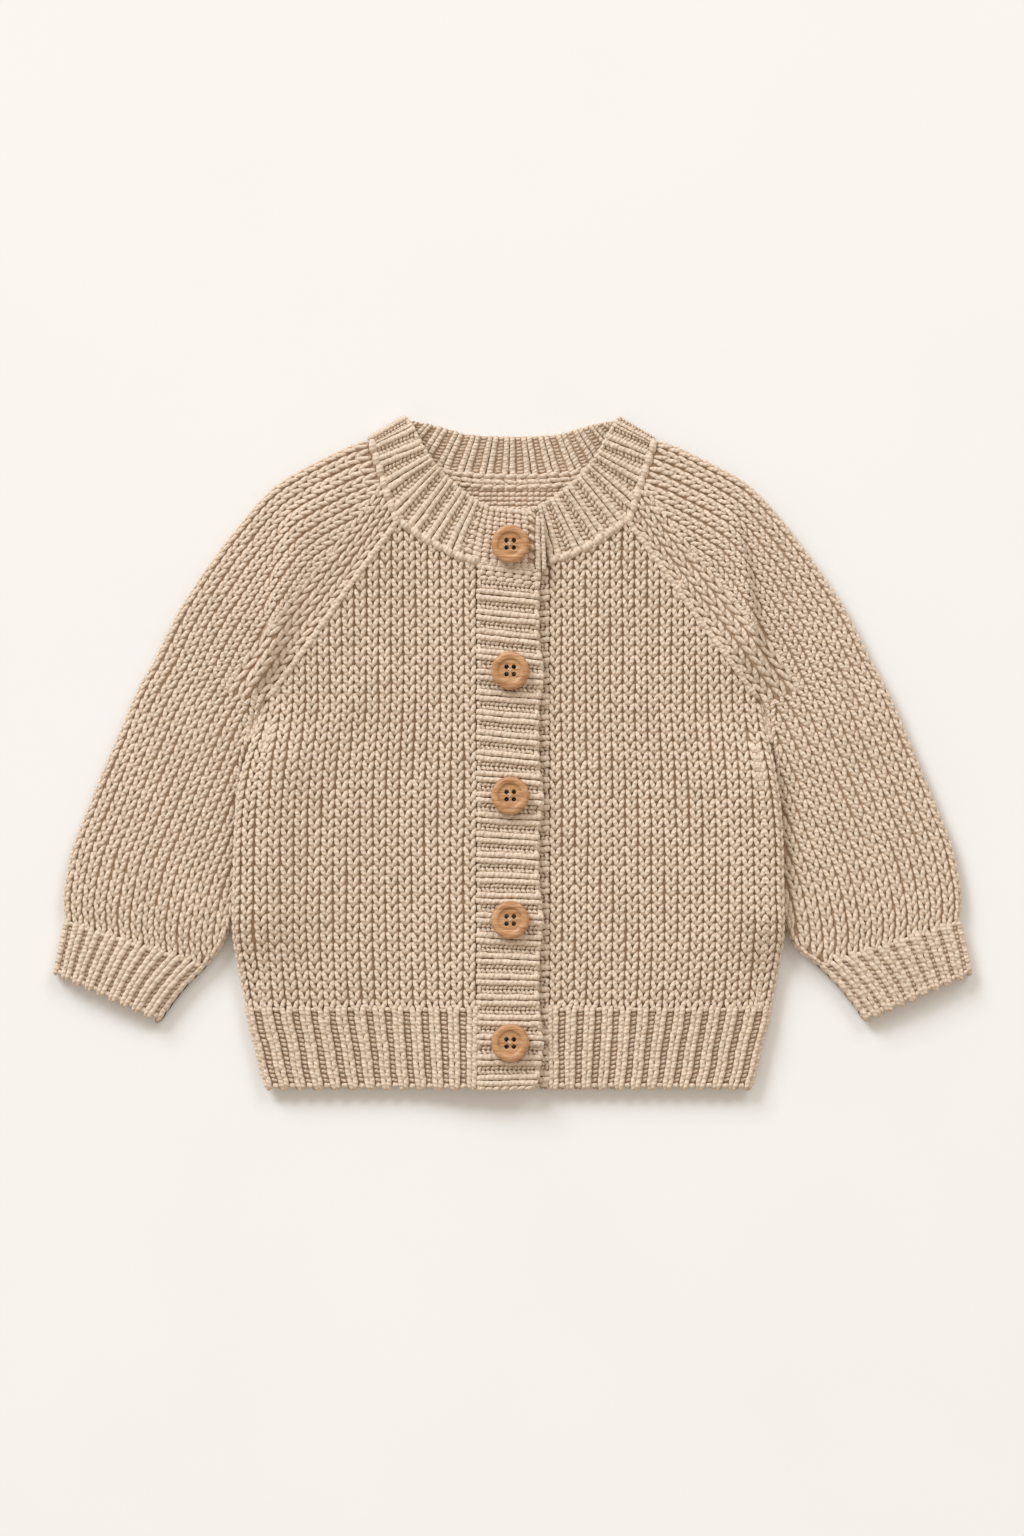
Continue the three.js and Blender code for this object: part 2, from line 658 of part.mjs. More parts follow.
// Points along the band between two neighbouring stations, at an even spacing.
function neckColumns() {
  const stations = neckStations();
  const middle = (station) => station.seam.clone().lerp(station.free, 0.5);
  const columns = [];
  let travelled = 0;
  stations.forEach((station, i) => {
    if (station.layer === 'fold') {
      for (const turn of evenSteps(0, Math.PI, neckFoldSteps)) {
        const forwards = station.side < 0 ? turn : Math.PI - turn;
        columns.push({ ...station, turn: forwards, travelled });
        travelled += (neckFoldRadius * Math.PI) / neckFoldSteps;
      }
      return;
    }
    columns.push({ ...station, travelled });
    const next = stations[i + 1];
    if (!next) {
      return;
    }
    const gap = middle(station).distanceTo(middle(next));
    const pieces = Math.max(1, Math.round((gap * samplesPerRib) / neckRibPitch));
    for (let k = 1; k < pieces && next.layer !== 'fold'; k += 1) {
      columns.push({
        ...station,
        seam: station.seam.clone().lerp(next.seam, k / pieces),
        free: station.free.clone().lerp(next.free, k / pieces),
        lift: THREE.MathUtils.lerp(station.lift, next.lift, k / pieces),
        travelled: travelled + (gap * k) / pieces,
      });
    }
    travelled += gap;
  });
  return columns;
}

function neckPoint(column, across, depth) {
  const inset = seamGap / column.seam.distanceTo(column.free);
  const place = column.seam.clone().lerp(column.free, inset + (1 - inset) * across);
  if (column.layer === 'back') {
    return [place.x, place.y, depth];
  }
  if (column.layer === 'fold') {
    const line = column.free.clone().sub(column.seam).normalize();
    const outward = new THREE.Vector2(column.side * line.y, -column.side * line.x);
    const centre = place.addScaledVector(outward, -neckFoldRadius);
    const reach = (neckFoldRadius - depth) * Math.sin(column.turn);
    centre.addScaledVector(outward, reach);
    return [centre.x, centre.y, neckFoldRadius + (neckFoldRadius - depth) * Math.cos(column.turn)];
  }
  const level = frontSurface(column.side, column.seam.x, column.seam.y) + column.lift * across;
  return [place.x, place.y, level - depth];
}

// Ribs stand on whichever face lies upwards, and change over round the shoulder folds.
function neckband() {
  const upward = (column) => ({ front: 1, back: -1, fold: Math.cos(column.turn) })[column.layer];
  const rib = (column) => ribRaise * ribProfile(column.travelled / neckRibPitch);
  const sink = (column) => ribSink * Math.max(0, upward(column));
  return wallGeometry({
    columns: neckColumns(),
    rows: [0, castOffShare, 1 - castOffShare, 1],
    point: neckPoint,
    outside: (column) => sink(column) - rib(column) * Math.max(0, upward(column)),
    inside: (column) => sink(column) + ribWall + rib(column) * Math.max(0, -upward(column)),
  });
}

// A turned button with a rounded rim, a dished face and four sewing holes.
function buttonGeometry() {
  const { radius, thickness, rim, dish, dishRadius, dishSlope } = button;
  const profile = [
    [0, 0],
    [radius - rim, 0],
    [radius - rim * 0.3, rim * 0.3],
    [radius, thickness * 0.5],
    [radius - rim * 0.35, thickness - rim * 0.35],
    [radius - rim, thickness],
    [dishRadius, thickness],
    [dishRadius - dishSlope, thickness - dish],
    [0, thickness - dish],
  ].map(([x, y]) => new THREE.Vector2(x, y));
  const turned = new THREE.LatheGeometry(profile, buttonSegments);
  turned.rotateX(Math.PI / 2);
  let body = toManifold(turned);
  for (const angle of evenSteps(Math.PI / 4, (7 * Math.PI) / 4, 3)) {
    const { radius: bore, sides } = buttonHole;
    const hole = new THREE.CylinderGeometry(bore, bore, 3 * thickness, sides);
    hole.rotateX(Math.PI / 2);
    const reach = buttonHole.offset * Math.SQRT2;
    hole.translate(reach * Math.cos(angle), reach * Math.sin(angle), 0);
    body = body.subtract(toManifold(hole));
  }
  const mesh = body.getMesh();
  return solidGeometry(Array.from(mesh.vertProperties), Array.from(mesh.triVerts));
}

function toManifold(geometry) {
  const plain = geometry.clone();
  plain.deleteAttribute('normal');
  plain.deleteAttribute('uv');
  const closed = solidGeometry(plain.getAttribute('position').array, Array.from(plain.getIndex().array));
  return new wasm.Manifold(new wasm.Mesh({
    numProp: 3,
    vertProperties: new Float32Array(closed.getAttribute('position').array),
    triVerts: new Uint32Array(closed.getIndex().array),
  }));
}

const cardigan = new THREE.Group();

cardigan.add(namedMesh('back_panel', backPanel(), knitColour, 0.9));
cardigan.add(namedMesh('front_right', frontPanel(-1), knitColour, 0.9));
cardigan.add(namedMesh('front_left', frontPanel(1), knitColour, 0.9));
cardigan.add(namedMesh('sleeve_right', sleeve(-1), knitColour, 0.9));
cardigan.add(namedMesh('sleeve_left', sleeve(1), knitColour, 0.9));
cardigan.add(namedMesh('hem_rib_back', backHem(), ribColour, 0.9));
cardigan.add(namedMesh('hem_rib_front_right', frontHem(-1), ribColour, 0.9));
cardigan.add(namedMesh('hem_rib_front_left', frontHem(1), ribColour, 0.9));
cardigan.add(namedMesh('cuff_right', cuff(-1), ribColour, 0.9));
cardigan.add(namedMesh('cuff_left', cuff(1), ribColour, 0.9));
cardigan.add(namedMesh('neckband', neckband(), ribColour, 0.9));
cardigan.add(namedMesh('buttonhole_band', buttonholeBand(), ribColour, 0.9));
cardigan.add(namedMesh('button_band', buttonBand(), ribColour, 0.9));

const bandSurface = frontTop + bandRise.height - ribSink + ribRaise;
const buttonShape = buttonGeometry();
buttonHeights.forEach((height, i) => {
  const mesh = namedMesh(`button_${i + 1}`, buttonShape.clone(), buttonColour, 0.45);
  mesh.position.set(buttonX, height, bandSurface + seamGap);
  cardigan.add(mesh);
});

export default cardigan;
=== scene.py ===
"""A hand-knitted baby cardigan, buttoned and laid flat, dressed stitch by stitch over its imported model.

Each knitted piece is a thin base cloth with grains of yarn on it. A grain is one leg of a stitch.
All shapes are worked out in millimetres and turned to metres when a mesh is made.
"Right" and "left" are the wearer's, so the right front lies at negative X.
"""

import logging
import math
from dataclasses import dataclass, field, replace
from enum import Enum
from typing import Callable, Sequence

import bmesh
import bpy
import numpy as np
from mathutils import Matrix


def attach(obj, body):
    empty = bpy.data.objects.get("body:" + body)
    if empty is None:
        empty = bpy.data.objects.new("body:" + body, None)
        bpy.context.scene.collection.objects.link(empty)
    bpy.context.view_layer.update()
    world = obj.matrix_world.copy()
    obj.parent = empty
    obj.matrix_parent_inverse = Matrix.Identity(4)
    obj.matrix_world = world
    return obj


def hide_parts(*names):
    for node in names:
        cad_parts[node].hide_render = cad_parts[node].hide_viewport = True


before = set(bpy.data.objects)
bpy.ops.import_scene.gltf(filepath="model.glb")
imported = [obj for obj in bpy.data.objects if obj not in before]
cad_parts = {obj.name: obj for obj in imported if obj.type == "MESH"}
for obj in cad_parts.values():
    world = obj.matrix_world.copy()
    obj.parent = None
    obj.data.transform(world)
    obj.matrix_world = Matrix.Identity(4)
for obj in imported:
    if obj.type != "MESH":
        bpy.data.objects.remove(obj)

log = logging.getLogger("cardigan")

MM = 0.001
BODY = "root"

Array = np.ndarray
Place = Callable[[Array, Array, Array], tuple[Array, Array, Array]]

# Hand gauge of the knitting
STITCH_WIDTH = 5.6
ROW_HEIGHT = 4.3
# The first row stands low, with its feet over the top of the rib
FIRST_ROW = 0.25

# The same driving sizes as the solids
KNIT_WALL = 2.8
RIB_WALL = 2.2
RIB_RAISE = 0.9
RIB_SINK = 0.4
SEAM_GAP = 0.3
LAYER_GAP = 0.7
FOLD_RADIUS = 3.3
QUARTER = FOLD_RADIUS * math.pi / 2
FRONT_TOP = 2 * KNIT_WALL + LAYER_GAP
EDGE_TOP = 2 * FOLD_RADIUS
HEM_TOP = -114.6
HEM_BOTTOM = -150.5
UNDERARM = (113.0, 22.0)
NECK_CORNER = (52.0, 105.5)
BACK_CORNER = (46.0, 131.0)
BUTTON_X = -1.0
BUTTON_HEIGHTS = (93.4, 36.7, -19.4, -75.2, -130.3)
BAND_RISE = 3.35

# No yarn goes below this height, so that the garment rests on the ground
LOWEST = 0.02
# Depth of the base cloth below the outside of a piece, under the yarn that stands on it
BASE_DEPTH = 1.6
# The same under the flattened stitches of the underside
FLAT_BASE_DEPTH = 1.2
# How far a front's yarn is carried round the side fold
FRONT_TURN = 0.55 * math.pi
# A wave pattern repeats at each such step of its coordinate
WAVE_STEP = 0.314


def smooth_between(start: float, full: float, value: Array) -> Array:
    """Rises from 0 at start to 1 at full with level ends: 3t squared less 2t cubed."""
    t = np.clip((value - start) / (full - start), 0.0, 1.0)
    return t * t * (3.0 - 2.0 * t)


def mix(first: Array, second: Array, share: Array) -> Array:
    """The value at a share of the way from first to second."""
    return first + (second - first) * share


class TableCurve:
    """A smooth curve through the rows of a table, each with the slope of its neighbours."""

    def __init__(self, rows: Sequence[tuple[float, float]], runs_on: bool = False) -> None:
        """Args: rows: pairs of place and value; runs_on: goes straight on past both ends."""
        self.runs_on = runs_on
        ordered = sorted(rows)
        self.at = np.array([row[0] for row in ordered])
        self.value = np.array([row[1] for row in ordered])
        before = np.maximum(np.arange(len(ordered)) - 1, 0)
        after = np.minimum(np.arange(len(ordered)) + 1, len(ordered) - 1)
        self.slope = (self.value[after] - self.value[before]) / (self.at[after] - self.at[before])

    def __call__(self, place: Array) -> Array:
        """Cubic between two rows: the straight line plus t(1-t) times the bend of both slopes."""
        at = np.clip(place, self.at[0], self.at[-1])
        i = np.clip(np.searchsorted(self.at, at, side="right") - 1, 0, len(self.at) - 2)
        step = self.at[i + 1] - self.at[i]
        t = (at - self.at[i]) / step
        rise = self.value[i + 1] - self.value[i]
        bend = self.slope[i] * step * (1 - t) - self.slope[i + 1] * step * t + rise * (2 * t - 1)
        inside = self.value[i] + rise * t + t * (1 - t) * bend
        if not self.runs_on:
            return inside
        return inside + np.where(place > at, self.slope[-1], self.slope[0]) * (place - at)


def linear(code: str) -> tuple[float, float, float, float]:
    """Turns an sRGB hex colour such as "d0b79f" to linear red, green, blue and alpha."""
    parts = [int(code[i : i + 2], 16) / 255 for i in (0, 2, 4)]
    return tuple(c / 12.92 if c <= 0.04045 else ((c + 0.055) / 1.055) ** 2.4 for c in parts) + (1.0,)


def add_node(material: bpy.types.Material, kind: str, settings: dict | None = None,
             sockets: dict | None = None) -> bpy.types.Node:
    """Adds one node.

    Args:
        material: the material it goes into.
        kind: the node's type name.
        settings: its properties by name.
        sockets: its inputs by name or number; a node's output is linked, anything else is set.

    Returns:
        The new node.
    """
    tree = material.node_tree
    node = tree.nodes.new(kind)
    for name, value in (settings or {}).items():
        setattr(node, name, value)
    for name, value in (sockets or {}).items():
        if isinstance(value, bpy.types.NodeSocket):
            tree.links.new(value, node.inputs[name])
        else:
            node.inputs[name].default_value = value
    return node


def blank_material(name: str) -> bpy.types.Material:
    """A node material with nothing in it."""
    material = bpy.data.materials.new(name)
    material.use_nodes = True
    material.node_tree.nodes.clear()
    return material


def set_ramp(node: bpy.types.Node, stops: Sequence[tuple[float, str]]) -> None:
    """Gives a colour ramp its stops.

    Args:
        node: the ramp.
        stops: pairs of a place and an sRGB hex colour.
    """
    elements = node.color_ramp.elements
    while len(elements) < len(stops):
        elements.new(0.5)
    for element, (place, code) in zip(elements, stops):
        element.position = place
        element.color = linear(code)


def finish_material(material: bpy.types.Material, shader: bpy.types.Node) -> bpy.types.Material:
    """Joins the shader to a material output."""
    add_node(material, "ShaderNodeOutputMaterial", sockets={"Surface": shader.outputs[0]})
    return material


def add_object(name: str, data: bpy.types.ID) -> bpy.types.Object:
    """Puts an object with this data into the scene."""
    made = bpy.data.objects.new(name, data)
    bpy.context.scene.collection.objects.link(made)
    return made


# ---- Finishes ----


@dataclass(frozen=True)
class SpunWool:
    """Heathered aran wool, softly spun from three plies.

    Undyed and tan fibres are carded together, which gives the eye a warm oatmeal with small
    lighter and darker flecks. The plies show as slanting grooves along each grain, and loose
    fibres give a soft sheen at grazing angles.
    """

    name: str = "heathered_aran_wool"
    # Painted shade: the ramp's stops run from the dark low sides and sunk ends of a grain to its lit crown.
    shade_deep: str = "b69a7e"
    shade: str = "d3baa0"
    light: str = "e2cdb8"
    fleck_dark: str = "b3977a"
    fleck_light: str = "f5e9da"
    ply_pitch: float = 2.1
    fibre_width: float = 0.22
    fleck_size: float = 1.3
    patch_size: float = 24.0

    def material(self) -> bpy.types.Material:
        """Colour darker low on each grain as painted shade, scaled by the grain's tone and painted shade;
        bump from plies and fibres.
        """
        m = blank_material(self.name)
        place = add_node(m, "ShaderNodeTexCoord").outputs["Object"]
        uv = add_node(m, "ShaderNodeTexCoord").outputs["UV"]
        tone = add_node(m, "ShaderNodeAttribute", {"attribute_name": "tone"}).outputs["Fac"]
        rise = add_node(m, "ShaderNodeAttribute", {"attribute_name": "rise"}).outputs["Fac"]
        fleck = add_node(m, "ShaderNodeTexNoise", sockets={
            "Vector": place, "Scale": 1 / (self.fleck_size * MM), "Detail": 3.0, "Roughness": 0.65})
        patch = add_node(m, "ShaderNodeTexNoise", sockets={
            "Vector": place, "Scale": 1 / (self.patch_size * MM), "Detail": 2.0})
        fibre = add_node(m, "ShaderNodeTexNoise", sockets={
            "Vector": place, "Scale": 1 / (self.fibre_width * MM), "Detail": 2.0})
        # The plies: bands across the grain's own length, slanting round it by one pitch a turn.
        plies = add_node(m, "ShaderNodeTexWave", {"wave_type": "BANDS", "bands_direction": "X"}, {
            "Vector": uv, "Scale": 1.0, "Distortion": 1.2, "Detail": 2.0, "Detail Scale": 1.5})
        # Painted shade: the height on the grain picks the colour, darker low down.
        ramp = add_node(m, "ShaderNodeValToRGB", sockets={"Fac": rise})
        set_ramp(ramp, [(0.0, self.shade_deep), (0.45, self.shade), (1.0, self.light)])
        flecked = add_node(m, "ShaderNodeMapRange", sockets={
            "Value": fleck.outputs["Fac"], "From Min": 0.36, "From Max": 0.64,
            "To Min": 0.0, "To Max": 1.0})
        heather = add_node(m, "ShaderNodeMix", {"data_type": "RGBA"}, {
            "Factor": flecked.outputs[0], "A": linear(self.fleck_dark), "B": linear(self.fleck_light)})
        base = add_node(m, "ShaderNodeMix", {"data_type": "RGBA", "blend_type": "MIX"}, {
            "Factor": 0.22, "A": ramp.outputs["Color"], "B": heather.outputs["Result"]})
        patched = add_node(m, "ShaderNodeMath", {"operation": "MULTIPLY_ADD"}, {
            0: patch.outputs["Fac"], 1: 0.1, 2: 0.95})
        # Painted shade: the grain's tone, besides its small random change, darkens the bumps that lie in
        # the furrows.
        toned_and_shaded = add_node(m, "ShaderNodeMath", {"operation": "MULTIPLY"}, {
            0: patched.outputs[0], 1: tone})
        # Painted shade: the colour darkens in the grooves between the plies.
        groove_shade = add_node(m, "ShaderNodeMapRange", sockets={
            "Value": plies.outputs["Fac"], "To Min": 0.9, "To Max": 1.04})
        level = add_node(m, "ShaderNodeMath", {"operation": "MULTIPLY"}, {
            0: toned_and_shaded.outputs[0], 1: groove_shade.outputs[0]})
        coloured = add_node(m, "ShaderNodeHueSaturation", sockets={
            "Color": base.outputs["Result"], "Value": level.outputs[0]})
        height = add_node(m, "ShaderNodeMath", {"operation": "MULTIPLY_ADD"}, {
            0: fibre.outputs["Fac"], 1: 0.35, 2: plies.outputs["Fac"]})
        bump = add_node(m, "ShaderNodeBump", sockets={
            "Height": height.outputs[0], "Strength": 0.7, "Distance": 0.3 * MM})
        shader = add_node(m, "ShaderNodeBsdfPrincipled", sockets={
            "Base Color": coloured.outputs["Color"], "Roughness": 0.92, "IOR": 1.54,
            "Specular IOR Level": 0.12, "Sheen Weight": 0.25, "Sheen Roughness": 0.5,
            "Sheen Tint": linear("fff1e0"), "Normal": bump.outputs["Normal"]})
        return finish_material(m, shader)


@dataclass(frozen=True)
class InnerWoolShade:
    """The same wool deep between the stitches, where it lies in its own shade, coloured darker as painted
    shade.

    A fuzzy mid-brown ground that makes the gaps between stitches read as holes.
    """

    name: str = "inner_wool_painted_shade"
    dark: str = "a3876b"
    light: str = "caaf94"
    fuzz_size: float = 0.8

    def material(self) -> bpy.types.Material:
        """Brown mottled by noise at the size of loose fibres."""
        m = blank_material(self.name)
        place = add_node(m, "ShaderNodeTexCoord").outputs["Object"]
        fuzz = add_node(m, "ShaderNodeTexNoise", sockets={
            "Vector": place, "Scale": 1 / (self.fuzz_size * MM), "Detail": 3.0})
        ramp = add_node(m, "ShaderNodeValToRGB", sockets={"Fac": fuzz.outputs["Fac"]})
        # Painted shade: both browns are darker than the lit yarn, for the shade deep between stitches.
        set_ramp(ramp, [(0.35, self.dark), (0.65, self.light)])
        bump = add_node(m, "ShaderNodeBump", sockets={
            "Height": fuzz.outputs["Fac"], "Strength": 0.6, "Distance": 0.4 * MM})
        shader = add_node(m, "ShaderNodeBsdfPrincipled", sockets={
            "Base Color": ramp.outputs["Color"], "Roughness": 0.95, "Specular IOR Level": 0.1,
            "Normal": bump.outputs["Normal"]})
        return finish_material(m, shader)


@dataclass(frozen=True)
class TurnedWood:
    """A light hardwood button, turned, sanded and oiled.

    The oil gives the eye a low shine on the rim and deepens the fine straight grain.
    """

    name: str = "oiled_turned_hardwood"
    dark: str = "9a6a44"
    middle: str = "b9875c"
    light: str = "d0a479"
    grain_width: float = 1.1
    pore_width: float = 0.25

    def material(self) -> bpy.types.Material:
        """Stretched noise for the grain lines, with fine pores over them."""
        m = blank_material(self.name)
        place = add_node(m, "ShaderNodeTexCoord").outputs["Object"]
        # Grain runs along X, so the pattern is stretched tenfold in that direction.
        stretch = add_node(m, "ShaderNodeMapping", sockets={
            "Vector": place, "Scale": (0.1, 1.0, 0.5), "Rotation": (0.0, 0.0, 0.3)})
        grain = add_node(m, "ShaderNodeTexNoise", sockets={
            "Vector": stretch.outputs[0], "Scale": 1 / (self.grain_width * MM), "Detail": 4.0,
            "Distortion": 0.6})
        pores = add_node(m, "ShaderNodeTexNoise", sockets={
            "Vector": stretch.outputs[0], "Scale": 1 / (self.pore_width * MM), "Detail": 2.0})
        both = add_node(m, "ShaderNodeMath", {"operation": "MULTIPLY_ADD"}, {
            0: pores.outputs["Fac"], 1: 0.25, 2: grain.outputs["Fac"]})
        ramp = add_node(m, "ShaderNodeValToRGB", sockets={"Fac": both.outputs[0]})
        set_ramp(ramp, [(0.42, self.dark), (0.6, self.middle), (0.8, self.light)])
        bump = add_node(m, "ShaderNodeBump", sockets={
            "Height": both.outputs[0], "Strength": 0.25, "Distance": 0.1 * MM})
        shader = add_node(m, "ShaderNodeBsdfPrincipled", sockets={
            "Base Color": ramp.outputs["Color"], "Roughness": 0.4, "IOR": 1.5,
            "Normal": bump.outputs["Normal"]})
        return finish_material(m, shader)


@dataclass(frozen=True)
class HoleWallShade:
    """The wall of a drilled hole, coloured nearly black as painted shade deep in the hole."""

    name: str = "hole_wall_painted_shade"
    colour: str = "2a1a10"

    def material(self) -> bpy.types.Material:
        """One matt dark brown."""
        m = blank_material(self.name)
        shader = add_node(m, "ShaderNodeBsdfPrincipled", sockets={
            "Base Color": linear(self.colour), "Roughness": 0.9, "Specular IOR Level": 0.1})
        return finish_material(m, shader)


@dataclass(frozen=True)
class SewingThread:
    """Two-ply cotton sewing thread: matt, pale, with a fine twist."""

    name: str = "cotton_thread"
    dark: str = "b39673"
    light: str = "e3cfb2"
    twist_pitch: float = 0.7

    def material(self) -> bpy.types.Material:
        """Slanting bands in the thread's own length make its twist, darker in the grooves as painted shade.
        """
        m = blank_material(self.name)
        uv = add_node(m, "ShaderNodeTexCoord").outputs["UV"]
        twist = add_node(m, "ShaderNodeTexWave", {"wave_type": "BANDS", "bands_direction": "DIAGONAL"}, {
            "Vector": uv, "Scale": 1.0, "Distortion": 0.4})
        ramp = add_node(m, "ShaderNodeValToRGB", sockets={"Fac": twist.outputs["Fac"]})
        set_ramp(ramp, [(0.1, self.dark), (0.7, self.light)])
        shader = add_node(m, "ShaderNodeBsdfPrincipled", sockets={
            "Base Color": ramp.outputs["Color"], "Roughness": 0.8, "Specular IOR Level": 0.2})
        return finish_material(m, shader)


@dataclass(frozen=True)
class PaperGround:
    """Matt off-white card under the garment, with the faintest mottling."""

    name: str = "matt_card"
    colour: str = "f2f2f1"
    other: str = "f0efed"

    def material(self) -> bpy.types.Material:
        """Two near whites mixed by broad noise."""
        m = blank_material(self.name)
        place = add_node(m, "ShaderNodeTexCoord").outputs["Object"]
        mottle = add_node(m, "ShaderNodeTexNoise", sockets={"Vector": place, "Scale": 9.0, "Detail": 2.0})
        colour = add_node(m, "ShaderNodeMix", {"data_type": "RGBA"}, {
            "Factor": mottle.outputs["Fac"], "A": linear(self.colour), "B": linear(self.other)})
        shader = add_node(m, "ShaderNodeBsdfPrincipled", sockets={
            "Base Color": colour.outputs["Result"], "Roughness": 1.0, "Specular IOR Level": 0.0})
        return finish_material(m, shader)


class Finish(Enum):
    """The finishes that a piece can have."""

    YARN = SpunWool()
    BASE = InnerWoolShade()
    WOOD = TurnedWood()
    HOLE = HoleWallShade()
    THREAD = SewingThread()
    GROUND = PaperGround()

    def material(self) -> bpy.types.Material:
        """The material of this finish, made once."""
        return bpy.data.materials.get(self.value.name) or self.value.material()


# ---- Meshes ----


@dataclass
class MeshData:
    """Points in millimetres, with polygons as one run of corners and a count for each polygon."""

    points: Array
    corners: Array
    sizes: Array
    uv: Array | None = None
    values: dict[str, Array] = field(default_factory=dict)

    @property
    def starts(self) -> Array:
        """The first corner of each polygon."""
        return np.concatenate([[0], np.cumsum(self.sizes)[:-1]])

    def volume(self) -> float:
        """Signed volume: the sum over triangle fans of a · (b × c) / 6."""
        starts = self.starts
        total = 0.0
        for k in range(1, int(self.sizes.max()) - 1):
            some = self.sizes > k + 1
            a = self.points[self.corners[starts[some]]]
            b = self.points[self.corners[starts[some] + k]]
            c = self.points[self.corners[starts[some] + k + 1]]
            total += float(np.einsum("ij,ij->", a, np.cross(b, c)))
        return total / 6

    def outward(self) -> "MeshData":
        """The same mesh, turned round if its faces point inwards."""
        if self.volume() >= 0:
            return self
        starts = self.starts
        owner = np.repeat(np.arange(len(self.sizes)), self.sizes)
        within = np.arange(len(self.corners)) - starts[owner]
        order = starts[owner] + self.sizes[owner] - 1 - within
        uv = None if self.uv is None else self.uv[order]
        return MeshData(self.points, self.corners[order], self.sizes, uv, self.values)

    def make(self, name: str, finish: Finish, welded: bool = False) -> bpy.types.Object:
        """Makes the Blender object.

        Args:
            name: the object's name.
            finish: what it is made of.
            welded: joins points that fall together, as at the seam of a tube.

        Returns:
            The object, at the origin.
        """
        mesh = bpy.data.meshes.new(name)
        mesh.vertices.add(len(self.points))
        mesh.vertices.foreach_set("co", (self.points * MM).astype(np.float32).ravel())
        mesh.loops.add(len(self.corners))
        mesh.loops.foreach_set("vertex_index", self.corners.astype(np.int32))
        mesh.polygons.add(len(self.sizes))
        mesh.polygons.foreach_set("loop_start", self.starts.astype(np.int32))
        mesh.polygons.foreach_set("use_smooth", np.ones(len(self.sizes), dtype=bool))
        if self.uv is not None:
            layer = mesh.uv_layers.new(name="UVMap")
            layer.data.foreach_set("uv", self.uv.astype(np.float32).ravel())
        for key, values in self.values.items():
            layer = mesh.attributes.new(key, "FLOAT", "POINT")
            layer.data.foreach_set("value", values.astype(np.float32))
        mesh.update(calc_edges=True)
        if welded:
            work = bmesh.new()
            work.from_mesh(mesh)
            bmesh.ops.remove_doubles(work, verts=work.verts, dist=0.005 * MM)
            work.to_mesh(mesh)
            work.free()
        mesh.materials.append(finish.material())
        made = add_object(name, mesh)
        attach(made, BODY)
        log.info("%s: %d polygons", name, len(mesh.polygons))
        return made


def join(parts: Sequence[MeshData]) -> MeshData:
    """Several meshes as one.

    Args:
        parts: the meshes, all with uv or all without, and with the same values.

    Returns:
        The joined mesh.
    """
    shift = np.concatenate([[0], np.cumsum([len(p.points) for p in parts])[:-1]])
    return MeshData(
        np.concatenate([p.points for p in parts]),
        np.concatenate([p.corners + s for p, s in zip(parts, shift)]),
        np.concatenate([p.sizes for p in parts]),
        None if parts[0].uv is None else np.concatenate([p.uv for p in parts]),
        {key: np.concatenate([p.values[key] for p in parts]) for key in parts[0].values},
    )


def closed_wall(place: Place, across: Array, along: Array, outside: float, inside: float,
                open_rows: int | None = None) -> MeshData:
    """A wall between two depths of a surface, closed all round.

    Args:
        place: gives x, y and z for a place across, a place along and a depth.
        across: places of the columns, as one row or as a grid with a row for each place along.
        along: places of the rows, as one column or as a grid.
        outside: depth of the outer surface.
        inside: depth of the inner surface.
        open_rows: how many rows of quads have side walls; the rest join round as a tube.

    Returns:
        The mesh, facing outwards.
    """
    across, along = np.broadcast_arrays(across, along)
    rows, columns = across.shape
    layers = [np.stack(place(across, along, np.full(across.shape, depth)), axis=-1)
              for depth in (outside, inside)]
    points = np.concatenate([layer.reshape(-1, 3) for layer in layers])
    index = np.arange(2 * rows * columns).reshape(2, rows, columns)
    top, low = index
    quads = [
        np.stack([top[:-1, :-1], top[:-1, 1:], top[1:, 1:], top[1:, :-1]], axis=-1),
        np.stack([low[:-1, :-1], low[1:, :-1], low[1:, 1:], low[:-1, 1:]], axis=-1),
        np.stack([top[0, :-1], low[0, :-1], low[0, 1:], top[0, 1:]], axis=-1),
        np.stack([top[-1, :-1], top[-1, 1:], low[-1, 1:], low[-1, :-1]], axis=-1),
    ]
    sides = rows - 1 if open_rows is None else open_rows
    here, after = slice(0, sides), slice(1, sides + 1)
    quads += [
        np.stack([top[here, 0], top[after, 0], low[after, 0], low[here, 0]], axis=-1),
        np.stack([top[here, -1], low[here, -1], low[after, -1], top[after, -1]], axis=-1),
    ]
    corners = np.concatenate([q.reshape(-1, 4) for q in quads])
    values = {"tone": np.ones(len(points)), "rise": np.zeros(len(points))}
    return MeshData(points, corners.ravel(), np.full(len(corners), 4), None, values).outward()


def ring_quads(rings: Array) -> Array:
    """Quads between each ring of point numbers and the next one, closed round."""
    following = np.roll(rings, -1, axis=1)
    return np.stack([rings[:-1], following[:-1], following[1:], rings[1:]], axis=-1).reshape(-1, 4)


